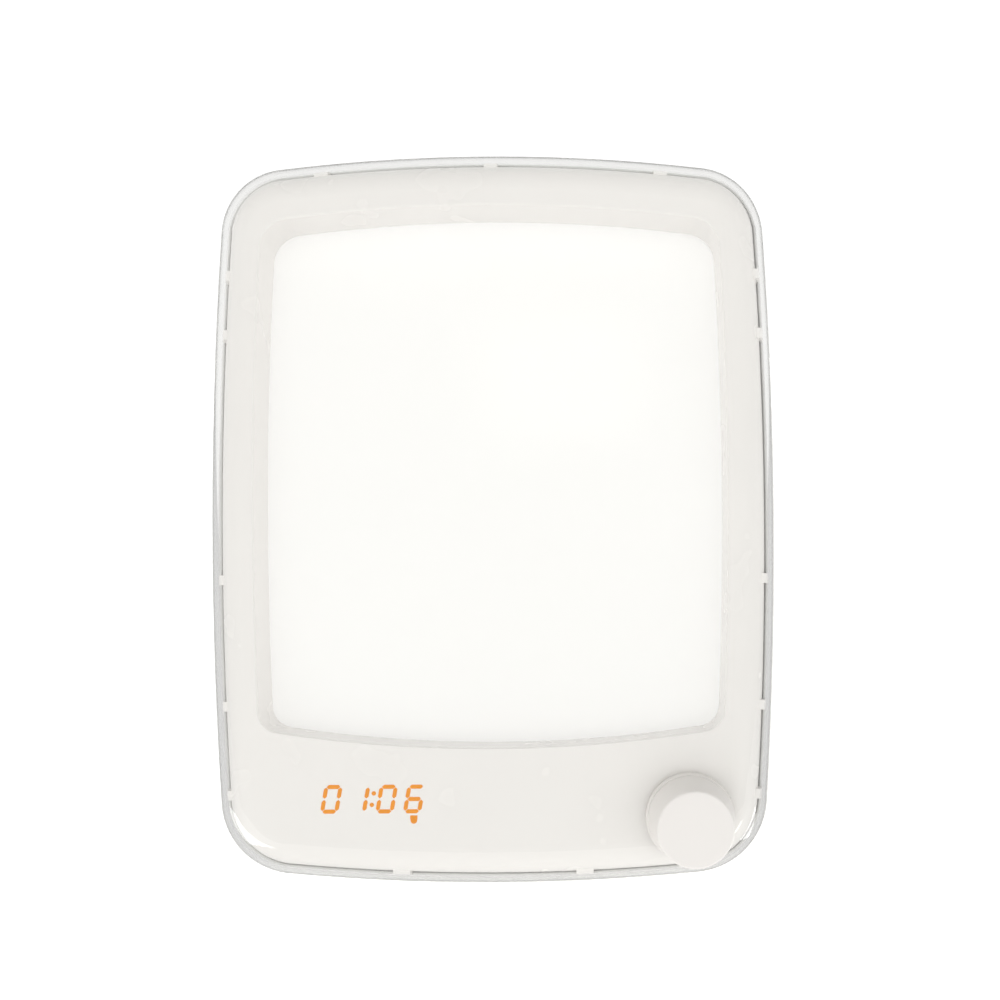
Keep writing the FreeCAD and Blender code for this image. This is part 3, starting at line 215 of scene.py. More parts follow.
class LampStage(PropertyGroup):
    lens: FloatProperty(name="Lens", description="Focal length of the camera", default=30.2,
                        min=1.0, subtype="DISTANCE_CAMERA", unit="CAMERA")
    distance: length("Distance", "Camera to the widest part of the body", 320.0)
    camera_x: length("Camera x", "Camera to the right of the lamp's middle", 38.8)
    camera_drop: length("Camera drop", "Camera below the lamp's mid-height", 32.3)
    roll: FloatProperty(name="Roll", description="Turn of the camera about its view",
                        default=radians(-0.24), subtype="ANGLE", unit="ROTATION")
    shift_x: FloatProperty(name="Shift x", description="Sideways shift of the view",
                           default=-0.0968)
    shift_y: FloatProperty(name="Shift y", description="Upward shift of the view",
                           default=0.1053)
    front: strength("Front", "Studio light from the camera's side", 1.54)
    behind: strength("Behind", "Studio light from behind the lamp", 0.80)
    mirrored_front: strength("Mirrored front", "Camera's side as reflections see it", 0.45)
    zenith: share("Zenith", "Part of the light that comes from straight above", 0.37)
    backdrop: strength("Backdrop", "Plain white that the camera sees round the lamp", 1.15)
    floor_glow: strength("Floor glow", "Light that the floor gives off as a light table", 0.45)
    floor_glow_seen: strength("Floor glow seen", "Light of the floor in the camera's view", 0.85)
    floor_through: strength("Floor through", "Light of the floor through clear plastic", 0.15)
    studio_through: strength("Studio through", "Studio light through clear plastic", 0.95)


class LampSettings(PropertyGroup):
    colours: PointerProperty(type=LampColours)
    glow: PointerProperty(type=LampGlow)
    shells: PointerProperty(type=LampShells)
    details: PointerProperty(type=LampDetails)
    stage: PointerProperty(type=LampStage)


# ---- shader building ----------------------------------------------------------------


def put(tree, kind, inputs=None, **settings):
    """Adds a node. Each input takes a value or the socket that feeds it."""
    node = tree.nodes.new(kind)
    node.location = (190 * (len(tree.nodes) % 8), -190 * (len(tree.nodes) // 8))
    for key, value in settings.items():
        setattr(node, key, value)
    for key, value in (inputs or {}).items():
        if isinstance(value, bpy.types.NodeSocket):
            tree.links.new(value, node.inputs[key])
        else:
            node.inputs[key].default_value = value
    return node


def maths(tree, operation, a, b=0.5, clamp=False):
    node = put(tree, "ShaderNodeMath", {0: a, 1: b}, operation=operation, use_clamp=clamp)
    return node.outputs[0]


def mixed(tree, factor, a, b, blend="MIX"):
    """Mix of two colours. In the node 6 and 7 are its colour inputs and 2 its colour result."""
    node = put(tree, "ShaderNodeMix", {0: factor, 6: a, 7: b}, data_type="RGBA", blend_type=blend)
    return node.outputs[2]


def remapped(tree, value, low, high, to_low=0.0, to_high=1.0):
    node = put(tree, "ShaderNodeMapRange", {"Value": value, "From Min": low, "From Max": high,
                                            "To Min": to_low, "To Max": to_high})
    return node.outputs["Result"]


def object_place(tree):
    return put(tree, "ShaderNodeTexCoord").outputs["Object"]


def upright_place(tree, node, scale):
    """Object coordinates turned upright, centred on a node of the lamp and scaled."""
    low, high = lamp_box(node)
    centre = LAMP @ ((low + high) / 2)
    place = object_place(tree)
    for step, value in (("Location", -centre), ("Rotation", (LEAN, 0.0, 0.0)), ("Scale", scale)):
        place = put(tree, "ShaderNodeMapping", {"Vector": place, step: value}).outputs[0]
    return place


def rgba(colour_value):
    return (*colour_value, 1.0)


def new_group(name, inputs, outputs):
    """An empty shader group with its sockets, given as (name, socket type, default)."""
    tree = bpy.data.node_groups.new(name, "ShaderNodeTree")
    for label, kind, default in inputs:
        socket = tree.interface.new_socket(label, in_out="INPUT", socket_type="NodeSocket" + kind)
        socket.default_value = default
    for label, kind in outputs:
        tree.interface.new_socket(label, in_out="OUTPUT", socket_type="NodeSocket" + kind)
    given = put(tree, "NodeGroupInput").outputs
    result = put(tree, "NodeGroupOutput").inputs
    return tree, given, result


def noise(tree, place, scale, detail=2.0):
    node = put(tree, "ShaderNodeTexNoise", {"Vector": place, "Scale": scale, "Detail": detail})
    return node.outputs["Fac"]


def gloss_band(tree, given, pattern):
    """Roughness that follows a pattern, to either side of the given one."""
    low = maths(tree, "SUBTRACT", given["Roughness"], given["Spread"])
    high = maths(tree, "ADD", given["Roughness"], given["Spread"])
    return remapped(tree, pattern, 0.3, 0.7, low, high)


def make_grain_group():
    """Fine spark texture of a mould, with slow changes of its gloss."""
    tree, given, result = new_group(
        "Moulded Grain",
        [("Scale", "Float", 2200.0), ("Roughness", "Float", 0.4), ("Spread", "Float", 0.05)],
        [("Height", "Float"), ("Roughness", "Float")])
    place = object_place(tree)
    tree.links.new(noise(tree, place, given["Scale"], 3.0), result["Height"])
    tree.links.new(gloss_band(tree, given, noise(tree, place, 45.0)), result["Roughness"])


def make_tone_group():
    """Slow, faint drift of a moulded colour."""
    tree, given, result = new_group(
        "Tone Drift",
        [("Color", "Color", (0.8, 0.8, 0.8, 1.0)), ("Amount", "Float", 0.04),
         ("Scale", "Float", 18.0)],
        [("Color", "Color")])
    cloud = noise(tree, object_place(tree), given["Scale"])
    drift = maths(tree, "MULTIPLY", remapped(tree, cloud, 0.3, 0.7, -1.0, 1.0), given["Amount"])
    tone = maths(tree, "ADD", drift, 1.0)
    grey = put(tree, "ShaderNodeCombineColor", {0: tone, 1: tone, 2: tone}).outputs[0]
    tree.links.new(mixed(tree, 1.0, given["Color"], grey, "MULTIPLY"), result["Color"])


def make_wear_group():
    """Rubbed, paler edges, found by how convex the surface is."""
    tree, given, result = new_group(
        "Edge Wear",
        [("Color", "Color", (0.2, 0.2, 0.2, 1.0)), ("Worn", "Color", (0.6, 0.6, 0.6, 1.0)),
         ("Amount", "Float", 0.3)],
        [("Color", "Color")])
    sharp = remapped(tree, put(tree, "ShaderNodeNewGeometry").outputs["Pointiness"], 0.53, 0.62)
    patch = remapped(tree, noise(tree, object_place(tree), 400.0), 0.35, 0.65)
    broken = maths(tree, "MULTIPLY", sharp, patch)
    factor = maths(tree, "MULTIPLY", broken, given["Amount"], clamp=True)
    tree.links.new(mixed(tree, factor, given["Color"], given["Worn"]), result["Color"])


def make_brush_group():
    """Long fine strokes of brushed or turned metal along the lamp's width."""
    tree, given, result = new_group(
        "Brushed Metal",
        [("Scale", "Float", 900.0), ("Roughness", "Float", 0.3), ("Spread", "Float", 0.08)],
        [("Height", "Float"), ("Roughness", "Float")])
    stretched = put(tree, "ShaderNodeMapping", {"Vector": object_place(tree),
                                                "Scale": (0.04, 1.0, 1.0)})
    strokes = noise(tree, stretched.outputs[0], given["Scale"], 4.0)
    tree.links.new(strokes, result["Height"])
    tree.links.new(gloss_band(tree, given, strokes), result["Roughness"])


def grouped(tree, name, **inputs):
    return put(tree, "ShaderNodeGroup", inputs, node_tree=bpy.data.node_groups[name]).outputs


def finish_name(slot):
    return "Lamp " + slot.replace("_", " ")


def blank_material(slot):
    """Node tree of a new, empty material."""
    material = bpy.data.materials.new(finish_name(slot))
    material.use_nodes = True
    material.node_tree.nodes.clear()
    return material.node_tree


def surface(tree, shader):
    put(tree, "ShaderNodeOutputMaterial", {"Surface": shader})


def principled(tree, inputs):
    surface(tree, put(tree, "ShaderNodeBsdfPrincipled", inputs).outputs[0])


def bumped(tree, height, distance):
    node = put(tree, "ShaderNodeBump", {"Height": height, "Distance": distance, "Strength": 0.5})
    return node.outputs[0]


def toned(tree, base, drift, scale=18.0, worn=None):
    """A base colour with a drift of its tone and, if asked, rubbed edges."""
    tone = grouped(tree, "Tone Drift", Color=rgba(base), Amount=drift, Scale=scale)["Color"]
    if worn is not None:
        tone = grouped(tree, "Edge Wear", Color=tone, Worn=rgba(worn))["Color"]
    return tone


def moulded(name, base, roughness, grain, depth, drift=0.02, worn=None):
    """Moulded plastic or rubber, its spark texture as deep as given in millimetres."""
    tree = blank_material(name)
    texture = grouped(tree, "Moulded Grain", Scale=grain, Roughness=roughness)
    principled(tree, {
        "Base Color": toned(tree, base, drift, worn=worn), "Roughness": texture["Roughness"],
        "Normal": bumped(tree, texture["Height"], depth * MM)})


def metal(name, base, roughness, scale=900.0, worn=None):
    """Brushed or turned metal."""
    tree = blank_material(name)
    strokes = grouped(tree, "Brushed Metal", Scale=scale, Roughness=roughness)
    principled(tree, {
        "Base Color": toned(tree, base, 0.06, 120.0, worn), "Metallic": 1.0,
        "Roughness": strokes["Roughness"], "Normal": bumped(tree, strokes["Height"], 0.01 * MM)})


def clear(name, tint):
    """Polished clear plastic with a faint drift of its tint. Light from lamps and from lit
    surfaces passes straight through it, and its outline fades softly."""
    tree = blank_material(name)
    glass = put(tree, "ShaderNodeBsdfPrincipled", {
        "Base Color": toned(tree, tint, 0.003), "Roughness": 0.0, "IOR": ACRYLIC_IOR,
        "Transmission Weight": 1.0})
    open_way = put(tree, "ShaderNodeBsdfTransparent", {"Color": rgba(tint)})
    path = put(tree, "ShaderNodeLightPath").outputs
    facing = put(tree, "ShaderNodeLayerWeight", {"Blend": 0.5}).outputs["Facing"]
    soft_rim = maths(tree, "MULTIPLY", remapped(tree, facing, 0.72, 0.94, 0.0, 0.9),
                     path["Is Camera Ray"])
    passing = maths(tree, "MAXIMUM", path["Is Shadow Ray"], path["Is Diffuse Ray"])
    passing = maths(tree, "MAXIMUM", passing, soft_rim)
    shader = put(tree, "ShaderNodeMixShader", {0: passing, 1: glass.outputs[0],
                                               2: open_way.outputs[0]})
    surface(tree, shader.outputs[0])


def opal_screen(name, glow):
    """Opal sheet, lit from strips at its left and right edges."""
    tree = blank_material(name)
    low, high = lamp_box("screen_diffuser")
    half = (high - low) / 2
    place = upright_place(tree, "screen_diffuser", (1 / half.x, 1.0, 1 / half.z))
    axes = put(tree, "ShaderNodeSeparateXYZ", {0: place}).outputs
    sideways = maths(tree, "ABSOLUTE", axes["X"])
    upright = maths(tree, "ABSOLUTE", axes["Z"])
    rim = maths(tree, "POWER", maths(tree, "MAXIMUM", sideways, upright), 7.0)
    texture = grouped(tree, "Moulded Grain", Scale=1500.0, Roughness=0.45)
    principled(tree, {
        "Base Color": (0.62, 0.615, 0.605, 1.0), "Roughness": texture["Roughness"],
        "Emission Color": mixed(tree, rim, rgba(glow.screen_middle), rgba(glow.screen_edge)),
        "Emission Strength": glow.screen,
        "Normal": bumped(tree, texture["Height"], 0.004 * MM)})


def lit(name, base, light, force):
    """A lit surface with a faint grain in its light."""
    tree = blank_material(name)
    texture = grouped(tree, "Moulded Grain", Scale=900.0, Roughness=0.4)
    principled(tree, {
        "Base Color": rgba(base), "Roughness": texture["Roughness"], "Specular IOR Level": 0.2,
        "Emission Color": toned(tree, light, 0.05, 260.0), "Emission Strength": force})


def dotted_guide(name):
    """Clear light guide with the rows of frosted dots that bring its light out."""
    tree = blank_material(name)
    place = upright_place(tree, "light_guide", (420.0, 0.0, 420.0))
    dots = put(tree, "ShaderNodeTexVoronoi", {"Vector": place, "Scale": 1.0, "Randomness": 0.0})
    frosted = remapped(tree, dots.outputs["Distance"], 0.30, 0.24)
    rough = maths(tree, "ADD", maths(tree, "MULTIPLY", frosted, 0.5), 0.04)
    principled(tree, {"Base Color": (0.95, 0.97, 0.97, 1.0), "Roughness": rough,
                      "IOR": ACRYLIC_IOR, "Transmission Weight": 1.0})


def traced_board(name, base):
    """Solder mask with a net of traces and plated holes under it."""
    tree = blank_material(name)
    place = upright_place(tree, "control_board", (1000.0, 0.0, 1000.0))
    flat = put(tree, "ShaderNodeMapping", {"Vector": place, "Rotation": (-pi / 2, 0.0, 0.0)})
    net = put(tree, "ShaderNodeTexBrick", {
        "Vector": flat.outputs[0], "Scale": 0.32, "Mortar Size": 0.05, "Mortar Smooth": 0.2,
        "Brick Width": 1.9, "Row Height": 0.42}).outputs["Fac"]
    holes = put(tree, "ShaderNodeTexVoronoi", {"Vector": place, "Scale": 0.28})
    ring = remapped(tree, holes.outputs["Distance"], 0.16, 0.12)
    paler = rgba(tuple(min(1.0, c * 2.1 + 0.01) for c in base))
    traces = mixed(tree, net, rgba(base), paler)
    texture = grouped(tree, "Moulded Grain", Scale=700.0, Roughness=0.32)
    principled(tree, {
        "Base Color": mixed(tree, ring, traces, (0.50, 0.49, 0.45, 1.0)),
        "Roughness": texture["Roughness"],
        "Normal": bumped(tree, maths(tree, "MAXIMUM", net, ring), 0.03 * MM)})


def wound_wire(name, base):
    """Enamelled copper wire."""
    tree = blank_material(name)
    strokes = grouped(tree, "Brushed Metal", Scale=1500.0, Roughness=0.26)
    principled(tree, {
        "Base Color": toned(tree, base, 0.12, 500.0), "Metallic": 1.0,
        "Roughness": strokes["Roughness"], "Coat Weight": 0.6, "Coat Roughness": 0.12})


# ---- modelling helpers --------------------------------------------------------------


def deselect():
    bpy.ops.object.select_all(action="DESELECT")


def named(name):
    """The object just added, renamed with its mesh."""
    piece = bpy.context.object
    piece.name = name
    piece.data.name = name
    return piece


def pick(*pieces):
    """Selects some pieces alone, the first of them active."""
    deselect()
    for piece in pieces:
        piece.select_set(True)
    bpy.context.view_layer.objects.active = pieces[0]


def started(name, add, **sizes):
    """A primitive, added alone by its operator, as the start of a piece."""
    deselect()
    add(**sizes)
    return named(name)


def settled(piece):
    """Applies the place of a piece to its mesh."""
    piece.data.transform(piece.matrix_world)
    piece.matrix_world = Matrix.Identity(4)


def edit(piece):
    """Opens one piece alone in edit mode, selected all over."""
    pick(piece)
    bpy.ops.object.mode_set(mode="EDIT")
    bpy.ops.mesh.select_all(action="SELECT")


def done(outward=False):
    """Leaves edit mode, with all faces turned outwards if asked."""
    if outward:
        bpy.ops.mesh.select_all(action="SELECT")
        bpy.ops.mesh.normals_make_consistent(inside=False)
    bpy.ops.object.mode_set(mode="OBJECT")


def plate(name, width, height, centre=(0.0, 0.0, 0.0)):
    """A flat rectangle, left open in edit mode."""
    piece = started(name, bpy.ops.mesh.primitive_plane_add, size=1.0, location=centre)
    edit(piece)
    bpy.ops.transform.resize(value=(width, height, 1.0))
    return piece


def choose(piece, kind, parts, keep):
    """Selects the faces or edges, in edit mode, that pass a test."""
    bpy.ops.mesh.select_mode(type=kind)
    bpy.ops.mesh.select_all(action="DESELECT")
    mesh = bmesh.from_edit_mesh(piece.data)
    for part in getattr(mesh, parts):
        part.select_set(keep(part))
    bmesh.update_edit_mesh(piece.data)


def choose_faces(piece, keep):
    """Selects the faces, in edit mode, whose centre and normal pass a test."""
    choose(piece, "FACE", "faces", lambda face: keep(face.calc_center_median(), face.normal))


def choose_rim(piece, keep):
    """Selects the open edges, in edit mode, whose middle passes a test."""
    choose(piece, "EDGE", "edges", lambda line: line.is_boundary and keep(
        (line.verts[0].co + line.verts[1].co) / 2))


def applied(piece, kind, **settings):
    """Finishes a piece with one modifier."""
    pick(piece)
    modifier = piece.modifiers.new(kind.title(), kind)
    for key, value in settings.items():
        setattr(modifier, key, value)
    bpy.ops.object.modifier_apply(modifier=modifier.name)


def combined(piece, operation, other):
    """Boolean of a piece with another one, which is used up."""
    applied(piece, "BOOLEAN", operation=operation, solver="EXACT", object=other)
    discard(other)


def copied(piece, name, place):
    """A copy with its own mesh, its place applied to the mesh."""
    mesh = piece.data.copy()
    mesh.name = name
    mesh.transform(place)
    copy = bpy.data.objects.new(name, mesh)
    bpy.context.scene.collection.objects.link(copy)
    return copy


def merged_node(node, name):
    """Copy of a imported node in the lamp's frame, its loose triangles merged."""
    piece = copied(frame["nodes"][node], name, LAMP.inverted())
    edit(piece)
    bpy.ops.mesh.remove_doubles(threshold=MERGE)
    done()
    return piece


def joined(name, pieces):
    """Several pieces made one object."""
    pick(*pieces)
    if len(pieces) > 1:
        bpy.ops.object.join()
    return named(name)


def discard(*pieces):
    for piece in pieces:
        bpy.data.objects.remove(piece)


def smooth(piece, angle=radians(35.0)):
    pick(piece)
    bpy.ops.object.shade_smooth_by_angle(angle=angle)


def dress(piece, slot, body, node=None):
    """Finish, body and, if asked, replaced node of a new piece."""
    piece.data.materials.clear()
    piece.data.materials.append(bpy.data.materials[finish_name(slot)])
    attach(piece, body)
    if node:
        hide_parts(node)


# ---- shells that follow the lamp's outline -----------------------------------------------


def circle_centre(a, b, c):
    """Centre of the circle through three flat points."""
    bx, by = b[0] - a[0], b[1] - a[1]
    cx, cy = c[0] - a[0], c[1] - a[1]
    double = 2 * (bx * cy - by * cx)
    b_square = bx * bx + by * by
    c_square = cx * cx + cy * cy
    return (a[0] + (cy * b_square - by * c_square) / double,
            a[1] + (bx * c_square - cx * b_square) / double)


def outline_arcs(node):
    """Tangent arcs of a node's outline as (start, centre, turn), read at its back face and
    anticlockwise as seen from the front. Corners of equal spacing lie on one arc."""
    home = LAMP.inverted()
    places = [home @ vertex.co for vertex in frame["nodes"][node].data.vertices]
    back = max(place.y for place in places) - MERGE
    points = list({(round(p.x, 6), round(p.z, 6)): (p.x, p.z) for p in places
                   if p.y > back}.values())
    loop = [points[k] for k in convex_hull_2d(points)]
    count = len(loop)
    chords = [dist(loop[k], loop[(k + 1) % count]) for k in range(count)]
    ends = [k for k in range(count)
            if abs(chords[k] - chords[k - 1]) > 0.02 * max(chords[k], chords[k - 1])]
    arcs = []
    for first, last in zip(ends, ends[1:] + [ends[0] + count]):
        a, b, c = (loop[k % count] for k in (first, (first + last) // 2, last))
        centre = circle_centre(a, b, c)
        spoke = Vector((a[0] - centre[0], a[1] - centre[1]))
        arcs.append((a, centre, spoke.angle((c[0] - centre[0], c[1] - centre[1]))))
    return arcs


def rounded(inset, depth, radius, steps=ROUND_STEPS):
    """Profile of a quarter round, as (inset, depth), from the front face to the side."""
    turns = [k * pi / 2 / steps for k in range(steps + 1)]
    return [(inset + radius * (1 - sin(t)), depth + radius * (1 - cos(t))) for t in turns]


def carried_round(name, arcs, profile):
    """Surface drawn by carrying a profile round an outline, in the lamp's frame."""
    start, centre = arcs[0][:2]
    out = Vector((start[0] - centre[0], 0.0, start[1] - centre[1])).normalized()
    edge = Vector((start[0], 0.0, start[1]))
    points = [edge - out * inset + Vector((0.0, depth, 0.0)) for inset, depth in profile]
    piece = started(name, bpy.ops.mesh.primitive_plane_add, size=MM)
    edit(piece)
    bpy.ops.mesh.select_mode(type="VERT")
    bpy.ops.mesh.select_all(action="SELECT")
    bpy.ops.mesh.merge(type="CENTER")
    bpy.ops.transform.translate(value=points[0])
    for here, there in zip(points, points[1:]):
        bpy.ops.mesh.extrude_vertices_move(TRANSFORM_OT_translate={"value": there - here})
    bpy.ops.mesh.select_all(action="SELECT")
    for start, centre, turn in arcs:
        bpy.ops.mesh.spin(steps=max(ROUND_STEPS, ceil(turn / ARC_STEP)), angle=turn,
                          center=(centre[0], 0.0, centre[1]), axis=(0.0, 1.0, 0.0))
    bpy.ops.mesh.select_all(action="SELECT")
    bpy.ops.mesh.remove_doubles(threshold=SEAM)
    done()
    return piece


def capped(piece, depths, border=0.0):
    """Closes a piece's open rims at some depths, each cap within a narrow border if asked."""
    edit(piece)
    for depth in depths:
        choose_rim(piece, lambda middle: level(middle.y, depth))
        bpy.ops.mesh.edge_face_add()
        if border:
            bpy.ops.mesh.inset(thickness=border)
    done(outward=True)


def bored(piece, radius, front, back):
    """Cuts a round hole on the knob's axis, between two depths."""
    low, high = lamp_box("encoder_shaft")
    drill = started("drill", bpy.ops.mesh.primitive_cylinder_add, vertices=96, radius=radius,
                    depth=back - front, rotation=(pi / 2, 0.0, 0.0),
                    location=((low.x + high.x) / 2, (front + back) / 2, (low.z + high.z) / 2))
    combined(piece, "DIFFERENCE", drill)


def evened(piece):
    """Smooth rounds that run out into flat faces."""
    smooth(piece)
    applied(piece, "WEIGHTED_NORMAL", keep_sharp=True, weight=100)


class LAMP_OT_cover(Operator):
    """Clear cover, one rounded profile carried round the lamp's outline"""
    bl_idname = "lamp.cover"
    bl_label = "Clear cover"

    def execute(self, context):
        sizes = context.scene.lamp.shells
        low, high = lamp_box("clear_cover")
        wall, trim = sizes.cover_wall, sizes.cover_trim
        skin_back = low.y + sizes.cover_skin
        outer = rounded(trim, low.y, sizes.cover_round - trim)
        inner = rounded(wall, skin_back, sizes.cover_round - wall)
        profile = outer + [(trim, high.y), (wall, high.y)] + inner[::-1]
        cover = carried_round("cover", outline_arcs("clear_cover"), profile)
        capped(cover, (low.y, skin_back), sizes.flat_border)
        bored(cover, sizes.cover_bore, low.y - MM, skin_back + MM)
        evened(cover)
        cover.data.transform(LAMP)
        dress(cover, "clear_plastic", "lamp", "clear_cover")
        return {"FINISHED"}


class LAMP_OT_seal(Operator):
    """Seal whose lip reaches forward between cover and bezel, notched for the bezel's ribs. Its
    grey lip is painted shade of the narrow gap there
    """
    bl_idname = "lamp.seal"
    bl_label = "Seal"

    def execute(self, context):
        sizes = context.scene.lamp.shells
        front = lamp_box("cover_seal")[0].y
        seal = merged_node("cover_seal", "seal")
        edit(seal)
        bpy.ops.mesh.dissolve_limited(angle_limit=radians(0.3))
        choose_faces(seal, lambda centre, normal: centre.y < front + 0.01 * MM)
        # the lip is carried forward into the visible gap, where its grey is painted shade
        bpy.ops.transform.translate(value=(0.0, -sizes.shade_lip, 0.0))
        bpy.ops.mesh.bevel(offset=sizes.seal_edge, segments=3)
        done()
        combined(seal, "INTERSECT", self.room_inside_cover(sizes))
        combined(seal, "DIFFERENCE", merged_node("front_bezel", "ribs"))
        smooth(seal)
        seal.data.transform(LAMP)
        dress(seal, "seal_grey", "lamp", "cover_seal")
        return {"FINISHED"}

    def room_inside_cover(self, sizes):
        """Solid that fills the clear cover, less the gap that the seal's lip keeps to it."""
        low, high = lamp_box("clear_cover")
        side = sizes.cover_wall + sizes.seal_room
        front = low.y + sizes.cover_skin + sizes.seal_room
        profile = rounded(side, front, sizes.cover_round - side) + [(side, high.y)]
        room = carried_round("room", outline_arcs("clear_cover"), profile)
        capped(room, (front, high.y))
        return room


class LAMP_OT_enamel(Operator):
    """Gloss enamel over the bezel's rounded edge, its face and the walls of the recess"""
    bl_idname = "lamp.enamel"
    bl_label = "Bezel enamel"

    def execute(self, context):
        sizes = context.scene.lamp.shells
        face = lamp_box("front_bezel")[0].y - sizes.enamel
        floor = lamp_box("screen_diffuser")[0].y - sizes.enamel_gap
        inset = sizes.bezel_inset - sizes.enamel
        outer = rounded(inset, face, sizes.bezel_round + sizes.enamel)
        outer.append((inset, outer[-1][1] + sizes.bezel_side))
        wall = sizes.guide_margin + sizes.recess_enamel
        recess = [(wall - i, depth) for i, depth in rounded(0.0, face, sizes.recess_edge, steps=8)]
        recess.append((wall, floor))
        shell = joined("bezel_enamel", [
            carried_round("bezel_side", outline_arcs("clear_cover"), outer),
            carried_round("recess_side", outline_arcs("light_guide"), recess)])
        edit(shell)
        choose_rim(shell, lambda middle: level(middle.y, face))
        bpy.ops.mesh.fill()
        bpy.ops.mesh.inset(thickness=sizes.flat_border, use_boundary=True)
        bpy.ops.mesh.select_all(action="SELECT")
        bpy.ops.mesh.normals_make_consistent(inside=False)
        mesh = bmesh.from_edit_mesh(shell.data)
        if min(mesh.faces, key=lambda f: f.calc_center_median().y).normal.y > 0.0:
            bpy.ops.mesh.flip_normals()
        done()
        applied(shell, "SOLIDIFY", thickness=sizes.enamel / 2, offset=-1.0)
        bored(shell, sizes.bezel_bore, face - MM, face + MM)
        evened(shell)
        shell.data.transform(LAMP)
        dress(shell, "bezel_white", "lamp")
        return {"FINISHED"}


# ---- clock ----------------------------------------------------------------------------

SHOWN = "0106"
LIT_BARS = {"0": "abcdef", "1": "bc", "6": "acdefg"}
LIT_GAP = 0.004 * MM  # between the enamel and the lit layer


def clock_bars(details):
    """Lit bars as (unslanted x, height above the clock's middle, size), the centres of the
    colon's dots, and the z of the clock's middle, in the lamp's frame."""
    low, high = lamp_box("display_segments")
    middle_z = (low.z + high.z) / 2
    bars = []
    dots = []
    for box_low, box_high in lamp_solids("display_segments"):
        centre = (box_low + box_high) / 2
        size = box_high - box_low
        above = centre.z - middle_z
        if level(size.x, size.z):
            dots.append(centre)
        else:
            bars.append((centre.x - above * tan(details.slant), above, size))
    digit_x = sorted(x for x, above, size in bars if size.x > size.z and level(above, 0.0))
    lit_bars = []
    for x, above, size in bars:
        digit = min(range(len(digit_x)), key=lambda k: abs(digit_x[k] - x))
        if size.x > size.z:
            letter = "g" if level(above, 0.0) else ("a" if above > 0 else "d")
        else:
            right = x > digit_x[digit]
            letter = ("b" if right else "f") if above > 0 else ("c" if right else "e")
            x = digit_x[digit] + (x - digit_x[digit]) * details.spread
        if letter in LIT_BARS[SHOWN[digit]]:
            lit_bars.append((x, above, size))
    return lit_bars, dots, middle_z


def flat_bar(long, wide, deep):
    """One lit bar, pointed and softened at both ends, Z out of the face."""
    bar = plate("bar", long, wide)
    bpy.ops.mesh.bevel(offset=wide * 0.42, segments=1, affect="VERTICES")
    bpy.ops.mesh.bevel(offset=wide * 0.07, segments=3, affect="VERTICES")
    bpy.ops.mesh.extrude_region_move(TRANSFORM_OT_translate={"value": (0.0, 0.0, deep)})
    done(outward=True)
    return bar


class LAMP_OT_clock(Operator):
    """Lit clock digits that shine through the bezel"""
    bl_idname = "lamp.clock"
    bl_label = "Clock digits"

    def execute(self, context):
        details = context.scene.lamp.details
        lit_bars, dots, middle_z = clock_bars(details)
        face_y = lamp_box("front_bezel")[0].y - context.scene.lamp.shells.enamel - LIT_GAP
        shift = Vector((details.clock_shift[0], 0.0, details.clock_shift[1]))
        slant = Matrix.Identity(4)
        slant[0][1] = tan(details.slant)
        masters = {}
        for upright, spare in ((False, details.bar_spare), (True, details.bar_reach)):
            longest = max(max(size.x, size.z) for x, above, size in lit_bars
                          if (size.z > size.x) == upright)
            masters[upright] = flat_bar(longest + spare, details.bar_width, details.bar_depth)
        copies = []
        for x, above, size in lit_bars:
            upright = size.z > size.x
            turn = Matrix.Rotation(pi / 2 if upright else 0.0, 4, "Z")
            home = Matrix.Translation(shift + Vector((x, face_y, middle_z))) @ OUT_OF_FRONT
            rise = Matrix.Translation((0.0, above, 0.0))
            copies.append(copied(masters[upright], "bar", LAMP @ home @ slant @ rise @ turn))
        discard(*masters.values())
        dress(joined("clock_digits", copies), "segment_amber", "lamp")
        self.add_colon(details, dots, face_y, shift)
        self.add_sign(details, face_y, shift)
        return {"FINISHED"}

    def add_colon(self, details, dots, face_y, shift):
        deep = details.bar_depth
        dot = started("dot", bpy.ops.mesh.primitive_cylinder_add, vertices=32,
                      radius=details.dot, depth=deep)
        edit(dot)
        choose_faces(dot, lambda centre, normal: normal.z > 0.9)
        bpy.ops.mesh.bevel(offset=deep * 0.4, segments=2)
        done()
        copies = []
        for centre in dots:
            place = shift + Vector((centre.x, face_y - deep / 2, centre.z))
            copies.append(copied(dot, "dot", LAMP @ Matrix.Translation(place) @ OUT_OF_FRONT))
        discard(dot)
        dress(joined("clock_colon", copies), "segment_amber", "lamp")

    def add_sign(self, details, face_y, shift):
        """A bulb with its cap up: round glass below and a flat cap above."""
        size = details.sign_size
        low, high = lamp_box("display_segments")
        centre = shift + Vector((high.x - details.sign_aside, face_y,
                                 low.z - details.sign_drop))
        glass = started("glass", bpy.ops.mesh.primitive_circle_add, vertices=40,
                        radius=size * 0.41, fill_type="NGON", location=(0.0, -size * 0.14, 0.0))
        neck = plate("neck", size * 0.92, size * 0.56, (0.0, size * 0.22, 0.0))
        bpy.ops.mesh.bevel(offset=size * 0.08, segments=3, affect="VERTICES")
        done()
        sign = joined("bulb_sign", [glass, neck])
        settled(sign)
        applied(sign, "SOLIDIFY", thickness=details.bar_depth, offset=1.0)
        sign.data.transform(LAMP @ Matrix.Translation(centre) @ OUT_OF_FRONT)
        dress(sign, "segment_amber", "lamp")


# ---- fasteners -----------------------------------------------------------------------

# shares of a screw head's radius, and the radius of head whose thread has the full depth
SHANK_SHARE, HEAD_SHARE, SOCKET_SHARE = 0.53, 0.70, 0.42
THREAD_HEAD = 2.8 * MM


